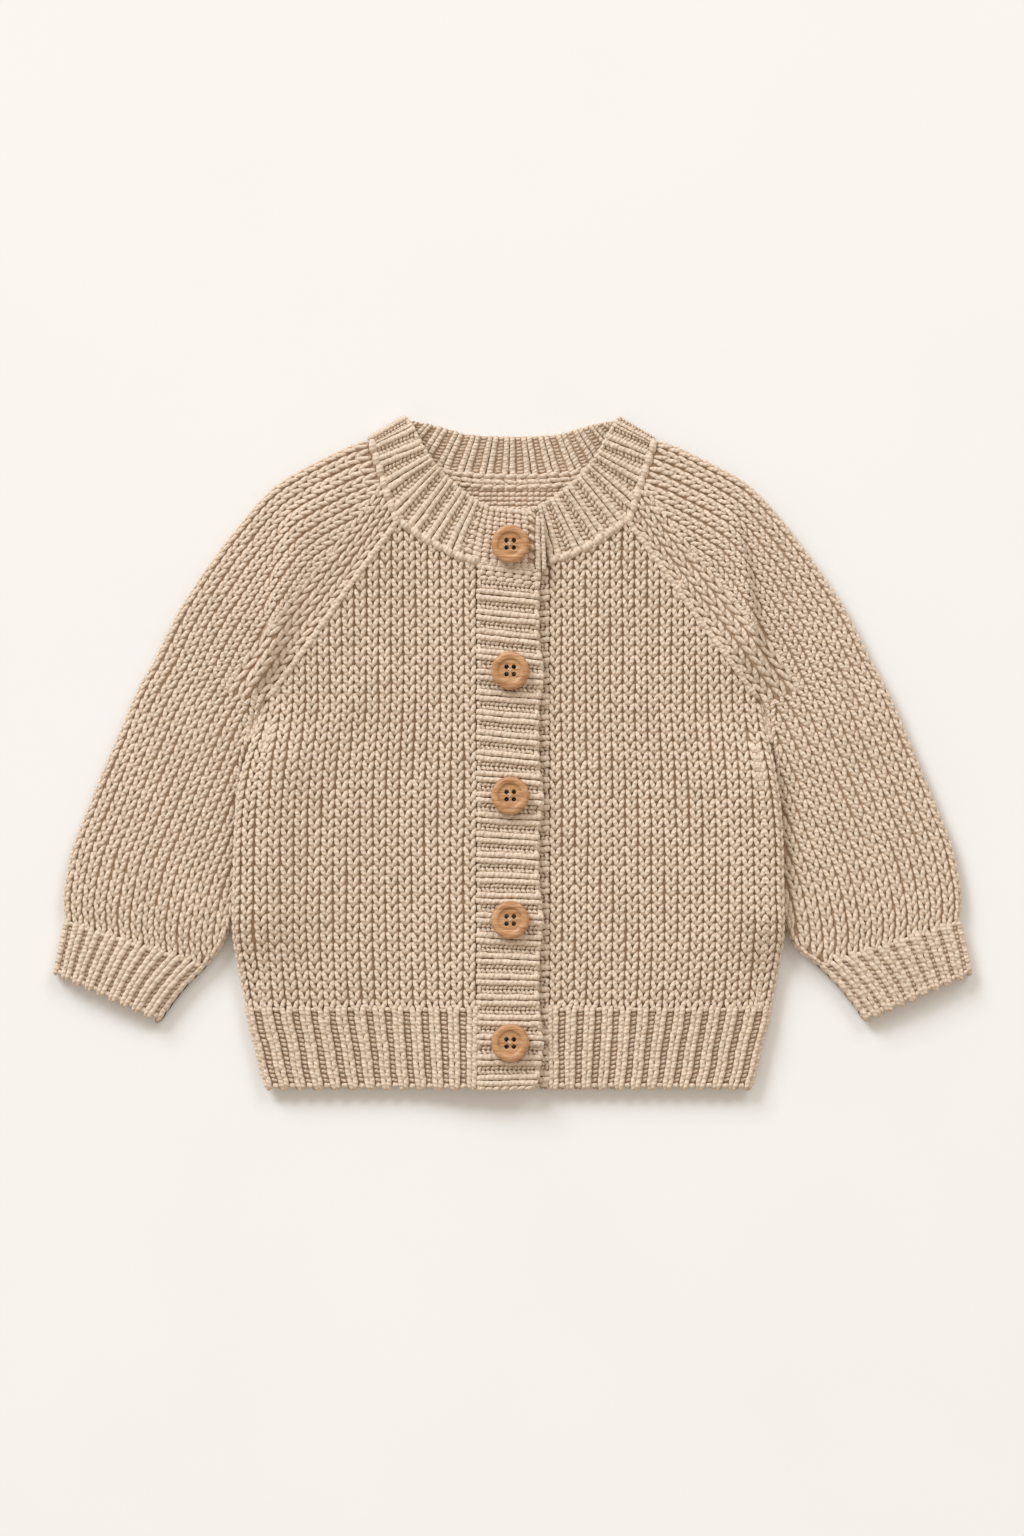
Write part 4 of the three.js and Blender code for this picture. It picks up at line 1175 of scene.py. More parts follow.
class SleeveSections:
    """The sections of one sleeve as smooth curves over the number of the section."""

    KEYS = ("outer_x", "outer_y", "front_x", "front_y", "back_x", "back_y", "seam_top",
            "ridge_at", "ridge", "dome", "tube")

    def __init__(self, rows: Sequence[Sequence[float]]) -> None:
        """Args: rows: one row for each section with a value for each key."""
        table = np.array(rows)
        self.count = len(rows)
        self.curves = {
            key: TableCurve(list(zip(range(self.count), table[:, i])), runs_on=True)
            for i, key in enumerate(self.KEYS)
        }

    @classmethod
    def sleeve(cls, side: int) -> "SleeveSections":
        """The sections of a sleeve, from the neck to the seam with its cuff."""
        shape = SLEEVE_SHAPE
        rows = []
        for outer_x, outer_y, share, ridge_at, ridge, dome in shape.raglan:
            front = shape.seam_place(NECK_CORNER, share)
            back = shape.seam_place(BACK_CORNER, share)
            top = float(BODY_SHAPE.front_surface(1, np.array(front[0]), np.array(front[1])))
            rows.append((outer_x, outer_y, *front, *back, top, ridge_at, ridge, dome, 0.0))
        gap = TableCurve(shape.clearance)
        for outer_x, outer_y, inner, ridge_at, ridge, dome in shape.arm:
            x = float(BODY_SHAPE.half_width(inner) + side * BODY_SHAPE.centre(inner) + gap(inner))
            rows.append((outer_x, outer_y, x, inner, x, inner, EDGE_TOP, ridge_at, ridge, dome, 1.0))
        outer_x, outer_y, x, y, dome = shape.sleeve_end
        rows.append((outer_x, outer_y, x, y, x, y, EDGE_TOP, 0.0, 0.0, dome, 1.0))
        return cls(rows)

    @classmethod
    def cuff(cls) -> "SleeveSections":
        """The sections of a cuff."""
        shape = SLEEVE_SHAPE
        first, last = np.array(shape.sleeve_end), np.array(shape.cuff_end)
        start = SEAM_GAP / float(np.hypot(*(last[:2] - first[:2])))
        rows = []
        for step in np.linspace(start, 1, 4):
            outer_x, outer_y, x, y, dome = first + (last - first) * step
            x += shape.cuff_swell * math.sin(math.pi * step)
            rows.append((outer_x, outer_y, x, y, x, y, EDGE_TOP, 0.0, 0.0, dome, 1.0))
        return cls(rows)

    def at(self, section: Array) -> dict[str, Array]:
        """Every value at a section's number."""
        return {key: curve(section) for key, curve in self.curves.items()}

    def lengths(self, section: Array) -> tuple[Array, Array]:
        """Distance round the section from the arm fold to both ends.

        Args:
            section: numbers of sections.

        Returns:
            Millimetres to the front end and to the back end.
        """
        s = self.at(section)
        extra = QUARTER + mix(FOLD_RADIUS, QUARTER, np.clip(s["tube"], 0, 1)) - 2 * FOLD_RADIUS
        front = np.hypot(s["outer_x"] - s["front_x"], s["outer_y"] - s["front_y"]) + extra
        back = np.hypot(s["outer_x"] - s["back_x"], s["outer_y"] - s["back_y"]) + extra
        return front, back

    def place(self, side: int, around: Array, section: Array, depth: Array) -> tuple[Array, Array, Array]:
        """Place on a section.

        around is the distance from the arm fold's outermost line, inwards over the upper layer
        where positive and under the lower layer where negative. The arm fold is a half circle,
        the layers are straight in plan, and the inner fold is a quarter circle on each, which
        flattens to a square end along the raglan.

        Args:
            side: +1 for the left sleeve.
            around: millimetres round the section.
            section: the section's number.
            depth: millimetres below the outside.

        Returns:
            x, y and z in millimetres.
        """
        s = self.at(section)
        upper = around >= 0
        end_x = np.where(upper, s["front_x"], s["back_x"])
        end_y = np.where(upper, s["front_y"], s["back_y"])
        run_x, run_y = s["outer_x"] - end_x, s["outer_y"] - end_y
        length = np.hypot(run_x, run_y)
        run_x, run_y = run_x / length, run_y / length
        flat = length - 2 * FOLD_RADIUS
        reach = np.abs(around)
        tube = np.clip(s["tube"], 0, 1)

        along = np.clip(1 - (reach - QUARTER) / flat, 0, 1)
        level = mix(s["seam_top"], EDGE_TOP, smooth_between(0, 1, along))
        ridge_at = np.maximum(s["ridge_at"], 0.02)
        up = smooth_between(0, 1, along / ridge_at)
        down = 1 - smooth_between(0, SLEEVE_SHAPE.ridge_fall, along - ridge_at)
        top = level + s["dome"] * np.sin(math.pi * along) + s["ridge"] * up * down
        out = FOLD_RADIUS + flat * along
        z = np.where(upper, top - depth, depth)

        past = np.clip(reach - QUARTER - flat, 0, QUARTER) / FOLD_RADIUS
        turn = mix(np.arcsin(np.clip(past, 0, 1)), past, tube)
        bend = FOLD_RADIUS - (FOLD_RADIUS - depth) * np.sin(turn)
        square = FOLD_RADIUS * (1 - np.sin(turn))
        rise = (FOLD_RADIUS - depth) * np.cos(turn)
        square_z = np.where(upper, s["seam_top"] - depth, depth)
        round_z = np.where(upper, FOLD_RADIUS + rise, FOLD_RADIUS - rise)
        inner = past > 0
        out = np.where(inner, mix(square, bend, tube), out)
        z = np.where(inner, mix(square_z, round_z, tube), z)
        x, y = end_x + run_x * out, end_y + run_y * out

        angle = np.clip(math.pi / 2 - around / FOLD_RADIUS, 0, math.pi)
        mid_x = mix(s["front_x"], s["back_x"], angle / math.pi)
        mid_y = mix(s["front_y"], s["back_y"], angle / math.pi)
        away_x, away_y = s["outer_x"] - mid_x, s["outer_y"] - mid_y
        size = np.hypot(away_x, away_y)
        swing = (FOLD_RADIUS - depth) * np.sin(angle) - FOLD_RADIUS
        folded = reach < QUARTER
        x = np.where(folded, s["outer_x"] + away_x / size * swing, x)
        y = np.where(folded, s["outer_y"] + away_y / size * swing, y)
        z = np.where(folded, FOLD_RADIUS + (FOLD_RADIUS - depth) * np.cos(angle), z)
        return side * x, y, z


@dataclass
class Sleeve(KnitPiece):
    """A stockinette sleeve that lies flat with a fold along each side."""

    side: int = 1
    raglan_columns: int = 3
    raglan_width: float = 6.2
    raglan_rows: int = 20
    inner_columns: int = 1
    row_height: float = 4.8
    raglan_length: float = 103.0
    underarm_section: float = 8.0

    def __post_init__(self) -> None:
        """Works out the sections and how many rows fall on each."""
        self.sections = SleeveSections.sleeve(self.side)
        step = np.linspace(0, self.sections.count - 1, 161)
        s = self.sections.at(step)
        pieces = np.hypot(np.diff(s["outer_x"]), np.diff(s["outer_y"]))
        self.step, self.travelled = step, np.concatenate([[0], np.cumsum(pieces)])
        self.rows = int(self.travelled[-1] / self.row_height)

    def section_of(self, row: Array) -> Array:
        """The section's number at a row counted from the cuff."""
        from_neck = self.travelled[-1] * (1 - row / self.rows)
        past = np.maximum(from_neck - self.travelled[-1], 0)
        pace = (self.step[-1] - self.step[-9]) / (self.travelled[-1] - self.travelled[-9])
        return np.interp(from_neck, self.travelled, self.step) + past * pace

    def place(self, column: Array, row: Array, depth: Array) -> tuple[Array, Array, Array]:
        """Columns are counted from the arm fold, so they follow the sleeve's outer line."""
        return self.sections.place(self.side, column * STITCH_WIDTH, self.section_of(row), depth)

    def inner_place(self, column: Array, row: Array, depth: Array) -> tuple[Array, Array, Array]:
        """Columns are counted in from the inner fold's outermost line, and follow it."""
        section = self.section_of(row)
        front, _ = self.sections.lengths(section)
        return self.sections.place(self.side, front - column * STITCH_WIDTH, section, depth)

    def raglan_place(self, column: Array, row: Array, depth: Array) -> tuple[Array, Array, Array]:
        """Columns are counted from the raglan seam, rows along it from the underarm."""
        section = self.underarm_section * (1 - row / self.raglan_rows)
        front, _ = self.sections.lengths(section)
        return self.sections.place(self.side, front - column * self.raglan_width, section, depth)

    def cloth(self) -> MeshData:
        """Goes once round each section, from the front end over the arm fold to the back end."""
        share = np.concatenate([np.linspace(1, 0, 41), -np.linspace(0, 1, 31)[1:]])[None, :]
        section = np.concatenate([np.linspace(0, 9, 46), np.linspace(9, 16, 36)[1:]])[:, None]
        front, back = self.sections.lengths(section)
        around = share * np.where(share >= 0, front, back)

        def place(across: Array, along: Array, depth: Array) -> tuple[Array, Array, Array]:
            """The section's own place on this side."""
            return self.sections.place(self.side, across, along, depth)

        return closed_wall(place, around, section, BASE_DEPTH - 0.2, KNIT_WALL, open_rows=45)

    def stitches(self) -> Yarn:
        """Columns along the outer line, and a few bold ones beside the raglan seam."""
        yarn = Yarn(seed=51 + self.side)
        leg = replace(KNIT_LEG, foot=(0.0, -4.0), tip=(2.02, 3.3))
        high = self.row_height
        column, row = grid(np.arange(0, 15) + 0.5, np.arange(self.rows) + FIRST_ROW)
        front, back = self.sections.lengths(self.section_of(row))
        beside_raglan = self.section_of(row) < self.underarm_section - 0.1
        room = front - np.where(beside_raglan, self.raglan_columns * self.raglan_width,
                                self.inner_columns * STITCH_WIDTH)
        keep = column * STITCH_WIDTH < room + 2.0
        yarn.knit(self.place, column[keep], row[keep], leg, row_height=high)
        rows = np.arange(self.rows) + FIRST_ROW
        rows = rows[self.section_of(rows) > self.underarm_section - 0.3]
        yarn.knit(self.inner_place, *grid(np.arange(self.inner_columns) + 0.4, rows),
                  replace(leg, middle=leg.middle - 0.45), row_height=high)
        keep = column * STITCH_WIDTH < back - 1.5
        yarn.knit(self.place, -column[keep], row[keep], FLAT_LEG, PLAIN_GRAIN, row_height=high)
        bold = replace(KNIT_LEG, half_width=1.25, foot=(0.15, -4.1), tip=(2.2, 3.3), middle=0.7,
                       bow=0.3, shingle=-0.4)
        rows = np.arange(self.raglan_rows) + 0.5
        yarn.knit(self.raglan_place, *grid(np.arange(self.raglan_columns) + 0.5, rows), bold,
                  column_width=self.raglan_width, row_height=self.raglan_length / self.raglan_rows)
        return yarn


@dataclass
class Cuff(KnitPiece):
    """A one-by-one rib tube below a sleeve."""

    side: int = 1
    ribs: int = 8
    rows: int = 6
    rib_pitch: float = 7.2

    def __post_init__(self) -> None:
        """Works out the sections."""
        self.sections = SleeveSections.cuff()

    def around(self, rib: Array, section: Array) -> Array:
        """Distance round the section of a rib, counted from the arm fold.

        Half a rib lies on each half of the arm fold and of the inner fold, the others are
        spread evenly over the layer.
        """
        front, _ = self.sections.lengths(section)
        flat = front - 2 * QUARTER
        reach = np.abs(rib)
        place = np.where(reach < 0.5, reach * 2 * QUARTER,
                         QUARTER + (reach - 0.5) * flat / self.ribs)
        return np.sign(rib) * np.where(reach > self.ribs + 0.5,
                                       QUARTER + flat + (reach - self.ribs - 0.5) * 2 * QUARTER, place)

    def place(self, column: Array, row: Array, depth: Array) -> tuple[Array, Array, Array]:
        """Columns are ribs from the arm fold; rows rise from the cast-on edge."""
        section = 3 * (1 - row / self.rows)
        return self.sections.place(self.side, self.around(column, section), section, depth)

    def cloth(self) -> MeshData:
        """A tube under the ribs."""
        reach = self.ribs + 1.0
        across = np.linspace(reach, -reach, 91)[None, :]
        return closed_wall(self.place, across, np.linspace(0.25, self.rows, 10)[:, None],
                           BASE_DEPTH - 0.2, RIB_SINK + RIB_WALL, open_rows=0)

    def stitches(self) -> Yarn:
        """Raised ribs above, flattened ribs below, and cast-on loops round the end."""
        yarn = Yarn(seed=61 + self.side)
        pitch = self.rib_pitch
        rows = np.arange(self.rows) + 0.5
        upper, lower = np.arange(0, self.ribs + 2) + 0.0, -np.arange(1, self.ribs + 2) + 0.0
        yarn.knit(self.place, *grid(upper, rows), RIB_LEG, column_width=pitch)
        yarn.knit(self.place, *grid(upper + 0.5, half_rows(self.rows)), PURL_BUMP, column_width=pitch)
        yarn.knit(self.place, *grid(lower, rows), FLAT_RIB_LEG, PLAIN_GRAIN, column_width=pitch)
        yarn.knit(self.place, *grid(lower + 0.5, rows), FLAT_BUMP, PLAIN_GRAIN, column_width=pitch)
        nubs(yarn, self.place, upper + 0.5, self.rows, pitch)
        cast_on(yarn, self.place, np.arange(0, self.ribs + 1.5, 0.5), 0.22, pitch)
        return yarn


# ---- Neckband and front bands ----


@dataclass(frozen=True)
class NeckShape:
    """Stations of the neckband on one side: picked-up edge x and y, cast-off edge x and y, its lift."""

    front: tuple = (
        (15.5, 86, 11, 110.6), (26, 89.4, 16, 113.2), (36.3, 94.7, 22, 117.2),
        (43.5, 99.7, 27.5, 122), (52, 105.5, 32.5, 127, 0.8), (56.9, 120.4, 36.8, 132.3, 2.6),
        (60.3, 130.3, 40.3, 138, 3.2), (62.8, 138, 44.6, 146.6, 1.8))
    fold: tuple = (64.6, 142.4, 48.2, 152)
    back: tuple = ((46, 131, 34.2, 146.9), (28, 125.8, 21, 143.1), (14, 124.4, 10.5, 142.3),
                   (0, 124, 0, 142.1))
    upper_end: tuple = ((-15.3, 82.3, -14.4, 103.6), (-8, 82.9, -8, 108.4), (2, 83.9, 2, 109.4))
    lower_end: tuple = ((-12.2, 82.5, -11, 106.5), (2, 83.9, 1, 108.4))
    fold_radius: float = 3.0


NECK_SHAPE = NeckShape()


@dataclass
class Neckband(KnitPiece):
    """A rib band picked up round the neck, turned over at both shoulders."""

    rib_pitch: float = 9.0
    rows: int = 6
    plain_ribs: float = 3.3

    def __post_init__(self) -> None:
        """Lays out the stations from the upper end round the back of the neck to the lower end."""
        stations = self.side_stations(-1, NECK_SHAPE.upper_end + NECK_SHAPE.front)
        stations += self.fold_stations(-1, False)
        stations += [self.station(-1, row, math.pi, 3.0) for row in NECK_SHAPE.back]
        stations += [self.station(1, row, math.pi, 3.0) for row in reversed(NECK_SHAPE.back[:-1])]
        stations += self.fold_stations(1, True)
        stations += self.side_stations(1, NECK_SHAPE.lower_end + NECK_SHAPE.front)[::-1]
        self.table = np.array(stations)
        middle = (self.table[:, 0:2] + self.table[:, 2:4]) / 2
        # Round a fold the band travels the arc and not the plan.
        steps = np.hypot(*np.diff(middle, axis=0).T)
        arc = np.abs(np.diff(self.table[:, 5])) * NECK_SHAPE.fold_radius
        self.travelled = np.concatenate([[0], np.cumsum(np.maximum(steps, arc))])
        self.ribs = self.travelled[-1] / self.rib_pitch

    def station(self, side: int, row: Sequence[float], turn: float, base: float,
                folded: float = 0.0) -> tuple:
        """One station of the table.

        Args:
            side: +1 for the left side.
            row: both edges in plan, and the lift of the free edge if it has one.
            turn: angle round the shoulder fold.
            base: height of the turn's centre.
            folded: 1 on the fold and 0 elsewhere.

        Returns:
            Both edges in plan, the turn's centre and angle, folded, the outward way and the lift.
        """
        seam_x, seam_y, free_x, free_y = side * row[0], row[1], side * row[2], row[3]
        line = np.array([free_x - seam_x, free_y - seam_y])
        line = line / np.hypot(*line)
        lift = row[4] if len(row) > 4 else 0.0
        return (seam_x, seam_y, free_x, free_y, base, turn, folded,
                side * line[1], -side * line[0], lift)

    def side_stations(self, side: int, rows: Sequence[Sequence[float]]) -> list[tuple]:
        """Stations on the front layer, which lie on the front panel's surface."""
        radius = NECK_SHAPE.fold_radius
        tops = [float(BODY_SHAPE.front_surface(side, np.array(side * row[0]), np.array(row[1])))
                for row in rows]
        return [self.station(side, row, 0.0, top - radius) for row, top in zip(rows, tops)]

    def fold_stations(self, side: int, backwards: bool) -> list[tuple]:
        """Stations round a shoulder fold, half a turn about the fold's radius."""
        turns = np.linspace(0, math.pi, 9)
        turns = turns[::-1] if backwards else turns
        return [self.station(side, NECK_SHAPE.fold, t, NECK_SHAPE.fold_radius, 1.0) for t in turns]

    def place(self, column: Array, row: Array, depth: Array) -> tuple[Array, Array, Array]:
        """Columns are ribs along the band; rows rise from the picked-up edge to the free edge.

        The height is the turn's centre plus the rest of its radius times the cosine of the turn,
        which is the front layer at no turn and the back layer at half a turn.
        """
        at = column * self.rib_pitch
        seam_x, seam_y, free_x, free_y, base, turn, folded, out_x, out_y, lift = (
            np.interp(at, self.travelled, values) for values in self.table.T)
        # The shoulder's corner is rounded off on the outermost line of its fold.
        share = np.clip(row / self.rows, -0.5, 1.03) * (1 - 0.04 * folded * np.sin(turn) ** 2)
        radius = NECK_SHAPE.fold_radius
        reach = folded * ((radius - depth) * np.sin(turn) - radius)
        x = mix(seam_x, free_x, share) + out_x * reach
        y = mix(seam_y, free_y, share) + out_y * reach
        return x, y, base + lift * np.clip(share, 0, 1) + (radius - depth) * np.cos(turn)

    def cloth(self) -> MeshData:
        """A plain strip under the ribs, thick enough for the ribs on both faces."""
        across = np.linspace(0.08, self.ribs - 0.08, 241)[None, :]
        return closed_wall(self.place, across, np.linspace(0, self.rows, 9)[:, None],
                           BASE_DEPTH - 0.3, RIB_WALL - 0.2)

    def stitches(self) -> Yarn:
        """Ribs on the face that lies upwards: outside at the front, inside at the back of the neck."""
        yarn = Yarn(seed=71)
        rows = np.arange(self.rows) + 0.5
        ribs = np.arange(0.25, self.ribs)
        turn = np.interp(ribs * self.rib_pitch, self.travelled, self.table[:, 5])
        inside = turn > math.pi * 0.55
        pitch = self.rib_pitch
        outside = ~inside & ((ribs > self.plain_ribs) | (ribs < 1))
        fine = half_rows(self.rows)
        yarn.knit(self.place, *grid(ribs[outside], rows), STRETCHED_LEG, column_width=pitch)
        furrows = ribs[~inside & (ribs > self.plain_ribs)] - 0.5
        yarn.knit(self.place, *grid(furrows, fine), CROSSED_BUMP, SMALL_GRAIN, column_width=pitch)
        # The end under the top button is plain garter stitch.
        bump = replace(PURL_BUMP, half_width=1.4, half_height=1.1, middle=0.9, ends=1.2, tone=1.0)
        column, row = grid(np.arange(0.75, self.plain_ribs + 0.2, 0.36),
                           np.concatenate([[-0.5, 0], fine]))
        yarn.knit(self.place, column + 0.18 * np.round(row * 2 % 2), row, bump, column_width=pitch)
        # The inside face is the same rib seen from its other side, so depths count from there.
        low_leg = replace(STRETCHED_LEG, half_height=-1.3, middle=RIB_WALL + 0.35, ends=RIB_WALL - 0.3)
        low_bump = replace(PURL_BUMP, half_height=-0.85, middle=RIB_WALL - 0.4, ends=RIB_WALL - 1.0)
        yarn.knit(self.place, *grid(ribs[inside], rows), low_leg, column_width=pitch)
        yarn.knit(self.place, *grid(ribs[inside] + 0.5, fine), low_bump, column_width=pitch)
        under = replace(FLAT_RIB_LEG, middle=1.0, half_height=0.85)
        yarn.knit(self.place, *grid(ribs[inside], rows), under, PLAIN_GRAIN, column_width=pitch)
        self.cast_off(yarn, ribs)
        for side in (-1, 1):
            pick_up_chain(yarn, side)
        # Inside, the seam shows as two chains, one on the band and one on the back.
        link = Leg(foot=(-2.9, -1.2), tip=(2.9, 1.2), half_width=1.65, half_height=-1.3,
                   middle=RIB_WALL + 0.8, ends=RIB_WALL - 0.5, paired=False)
        links = np.arange(ribs[inside][0], ribs[inside][-1] + 0.5, 0.47)
        other = replace(link, foot=(-2.7, 1.1), tip=(2.7, -1.1))
        for row, lean in ((0.1, link), (-0.75, other), (-1.5, link)):
            yarn.knit(self.place, links, np.full(links.shape, row), lean, column_width=pitch)
        return yarn

    def cast_off(self, yarn: Yarn, ribs: Array) -> None:
        """Adds the chain along the free edge."""
        chain = Leg(foot=(-2.6, -0.5), tip=(2.6, 0.5), half_width=1.25, half_height=1.2,
                    middle=0.9, ends=1.5, paired=False)
        places = np.arange(ribs[0], self.ribs, 0.5)
        yarn.knit(self.place, places, np.full(places.shape, self.rows - 0.15), chain,
                  column_width=self.rib_pitch)


class BandKind(Enum):
    """The two front bands. The buttonhole band lies on top."""

    BUTTONHOLE = -1
    BUTTON = 1


@dataclass
class FrontBand(KnitPiece):
    """A band of ribs that run across it, from the front's edge to its own free edge."""

    kind: BandKind = BandKind.BUTTONHOLE
    rib_pitch: float = 9.2
    rows: int = 7
    band_width: float = 27.7
    top_middle: float = 83.45
    top_slope: float = 0.12

    def __post_init__(self) -> None:
        """Whole ribs from the bottom to the neckband."""
        self.bottom = -151.9 if self.kind is BandKind.BUTTONHOLE else -150.5
        self.ribs = round((self.top_middle - self.bottom) / self.rib_pitch)

    def free_edge(self, y: Array) -> Array:
        """The free edge: swells at each button and is rounded at the bottom on the upper band."""
        if self.kind is BandKind.BUTTON:
            return np.full(np.shape(y), -12.4)
        swell = sum(np.exp(-(((y - height) / 11) ** 2)) for height in BUTTON_HEIGHTS)
        below = np.clip(1 - (y - self.bottom) / 9, 0, 1)
        return 11.7 + 2 * np.minimum(1, swell) - 4.5 * (1 - np.sqrt(1 - below * below))

    def place(self, column: Array, row: Array, depth: Array) -> tuple[Array, Array, Array]:
        """Columns are ribs up the band, rows run from the picked-up edge to the free edge."""
        side = self.kind.value
        seam = side * (16.4 - SEAM_GAP / 2 if side > 0 else 16 - SEAM_GAP / 2)
        share = np.clip(column / self.ribs, 0, 1)
        level = mix(self.bottom, self.top_middle, share)
        x = mix(seam, self.free_edge(level), np.clip(row / self.rows, -0.02, 1.02))
        y = level + side * self.top_slope * x * share
        top = BODY_SHAPE.front_surface(-1, x, y) if side < 0 else np.full(np.shape(x), FRONT_TOP)
        return x, y, top - depth

    def cloth(self) -> MeshData:
        """A plain strip under the ribs."""
        return closed_wall(self.place, np.linspace(0.15, self.ribs, 101)[None, :],
                           np.linspace(0, self.rows - 0.2, 11)[:, None], BASE_DEPTH, RIB_SINK + RIB_WALL)

    def stitches(self) -> Yarn:
        """Raised ribs with purl bumps between them, and a slipped edge."""
        yarn = Yarn(seed=81 + self.kind.value)
        rows = np.arange(self.rows) + 0.5
        pitch = self.rib_pitch
        row_height = self.band_width / self.rows
        ribs = np.arange(self.ribs - 1)
        fine = half_rows(self.rows)
        yarn.knit(self.place, *grid(ribs + 0.5, rows), STRETCHED_LEG, column_width=pitch,
                  row_height=row_height)
        yarn.knit(self.place, *grid(ribs + 1.0, fine), CROSSED_BUMP, SMALL_GRAIN, column_width=pitch,
                  row_height=row_height)
        # The last rib below the neckband and the edge at the bottom are garter stitch.
        garter = replace(PURL_BUMP, foot=(-0.5, -2.2), tip=(0.5, 2.2), half_width=1.35, half_height=1.1,
                         middle=0.8, ends=1.2, tone=1.0)
        level = np.concatenate([[0.1], self.ribs - 0.7 + np.arange(4) * 0.24])
        column, row = grid(level, np.arange(self.rows) + 0.5)
        yarn.knit(self.place, column, row + 0.25 * np.round(column * 4 % 2), garter, column_width=pitch,
                  row_height=row_height)
        edge = Leg(foot=(-2.5, 0.4), tip=(2.5, -0.4), half_width=1.3, half_height=1.2,
                   middle=0.8, ends=1.5, paired=False)
        places = np.arange(0.25, self.ribs, 0.5)
        yarn.knit(self.place, places, np.full(places.shape, self.rows - 0.2), edge,
                  column_width=pitch, row_height=row_height)
        picked = Leg(foot=(-1.7, 0.3), tip=(1.7, -0.3), half_width=1.0, half_height=1.0,
                     middle=0.7, ends=1.3, paired=False)
        places = np.arange(0.2, self.ribs, 0.4)
        yarn.knit(self.place, places, np.full(places.shape, 0.2), picked,
                  column_width=pitch, row_height=row_height)
        return yarn


# ---- Buttons ----


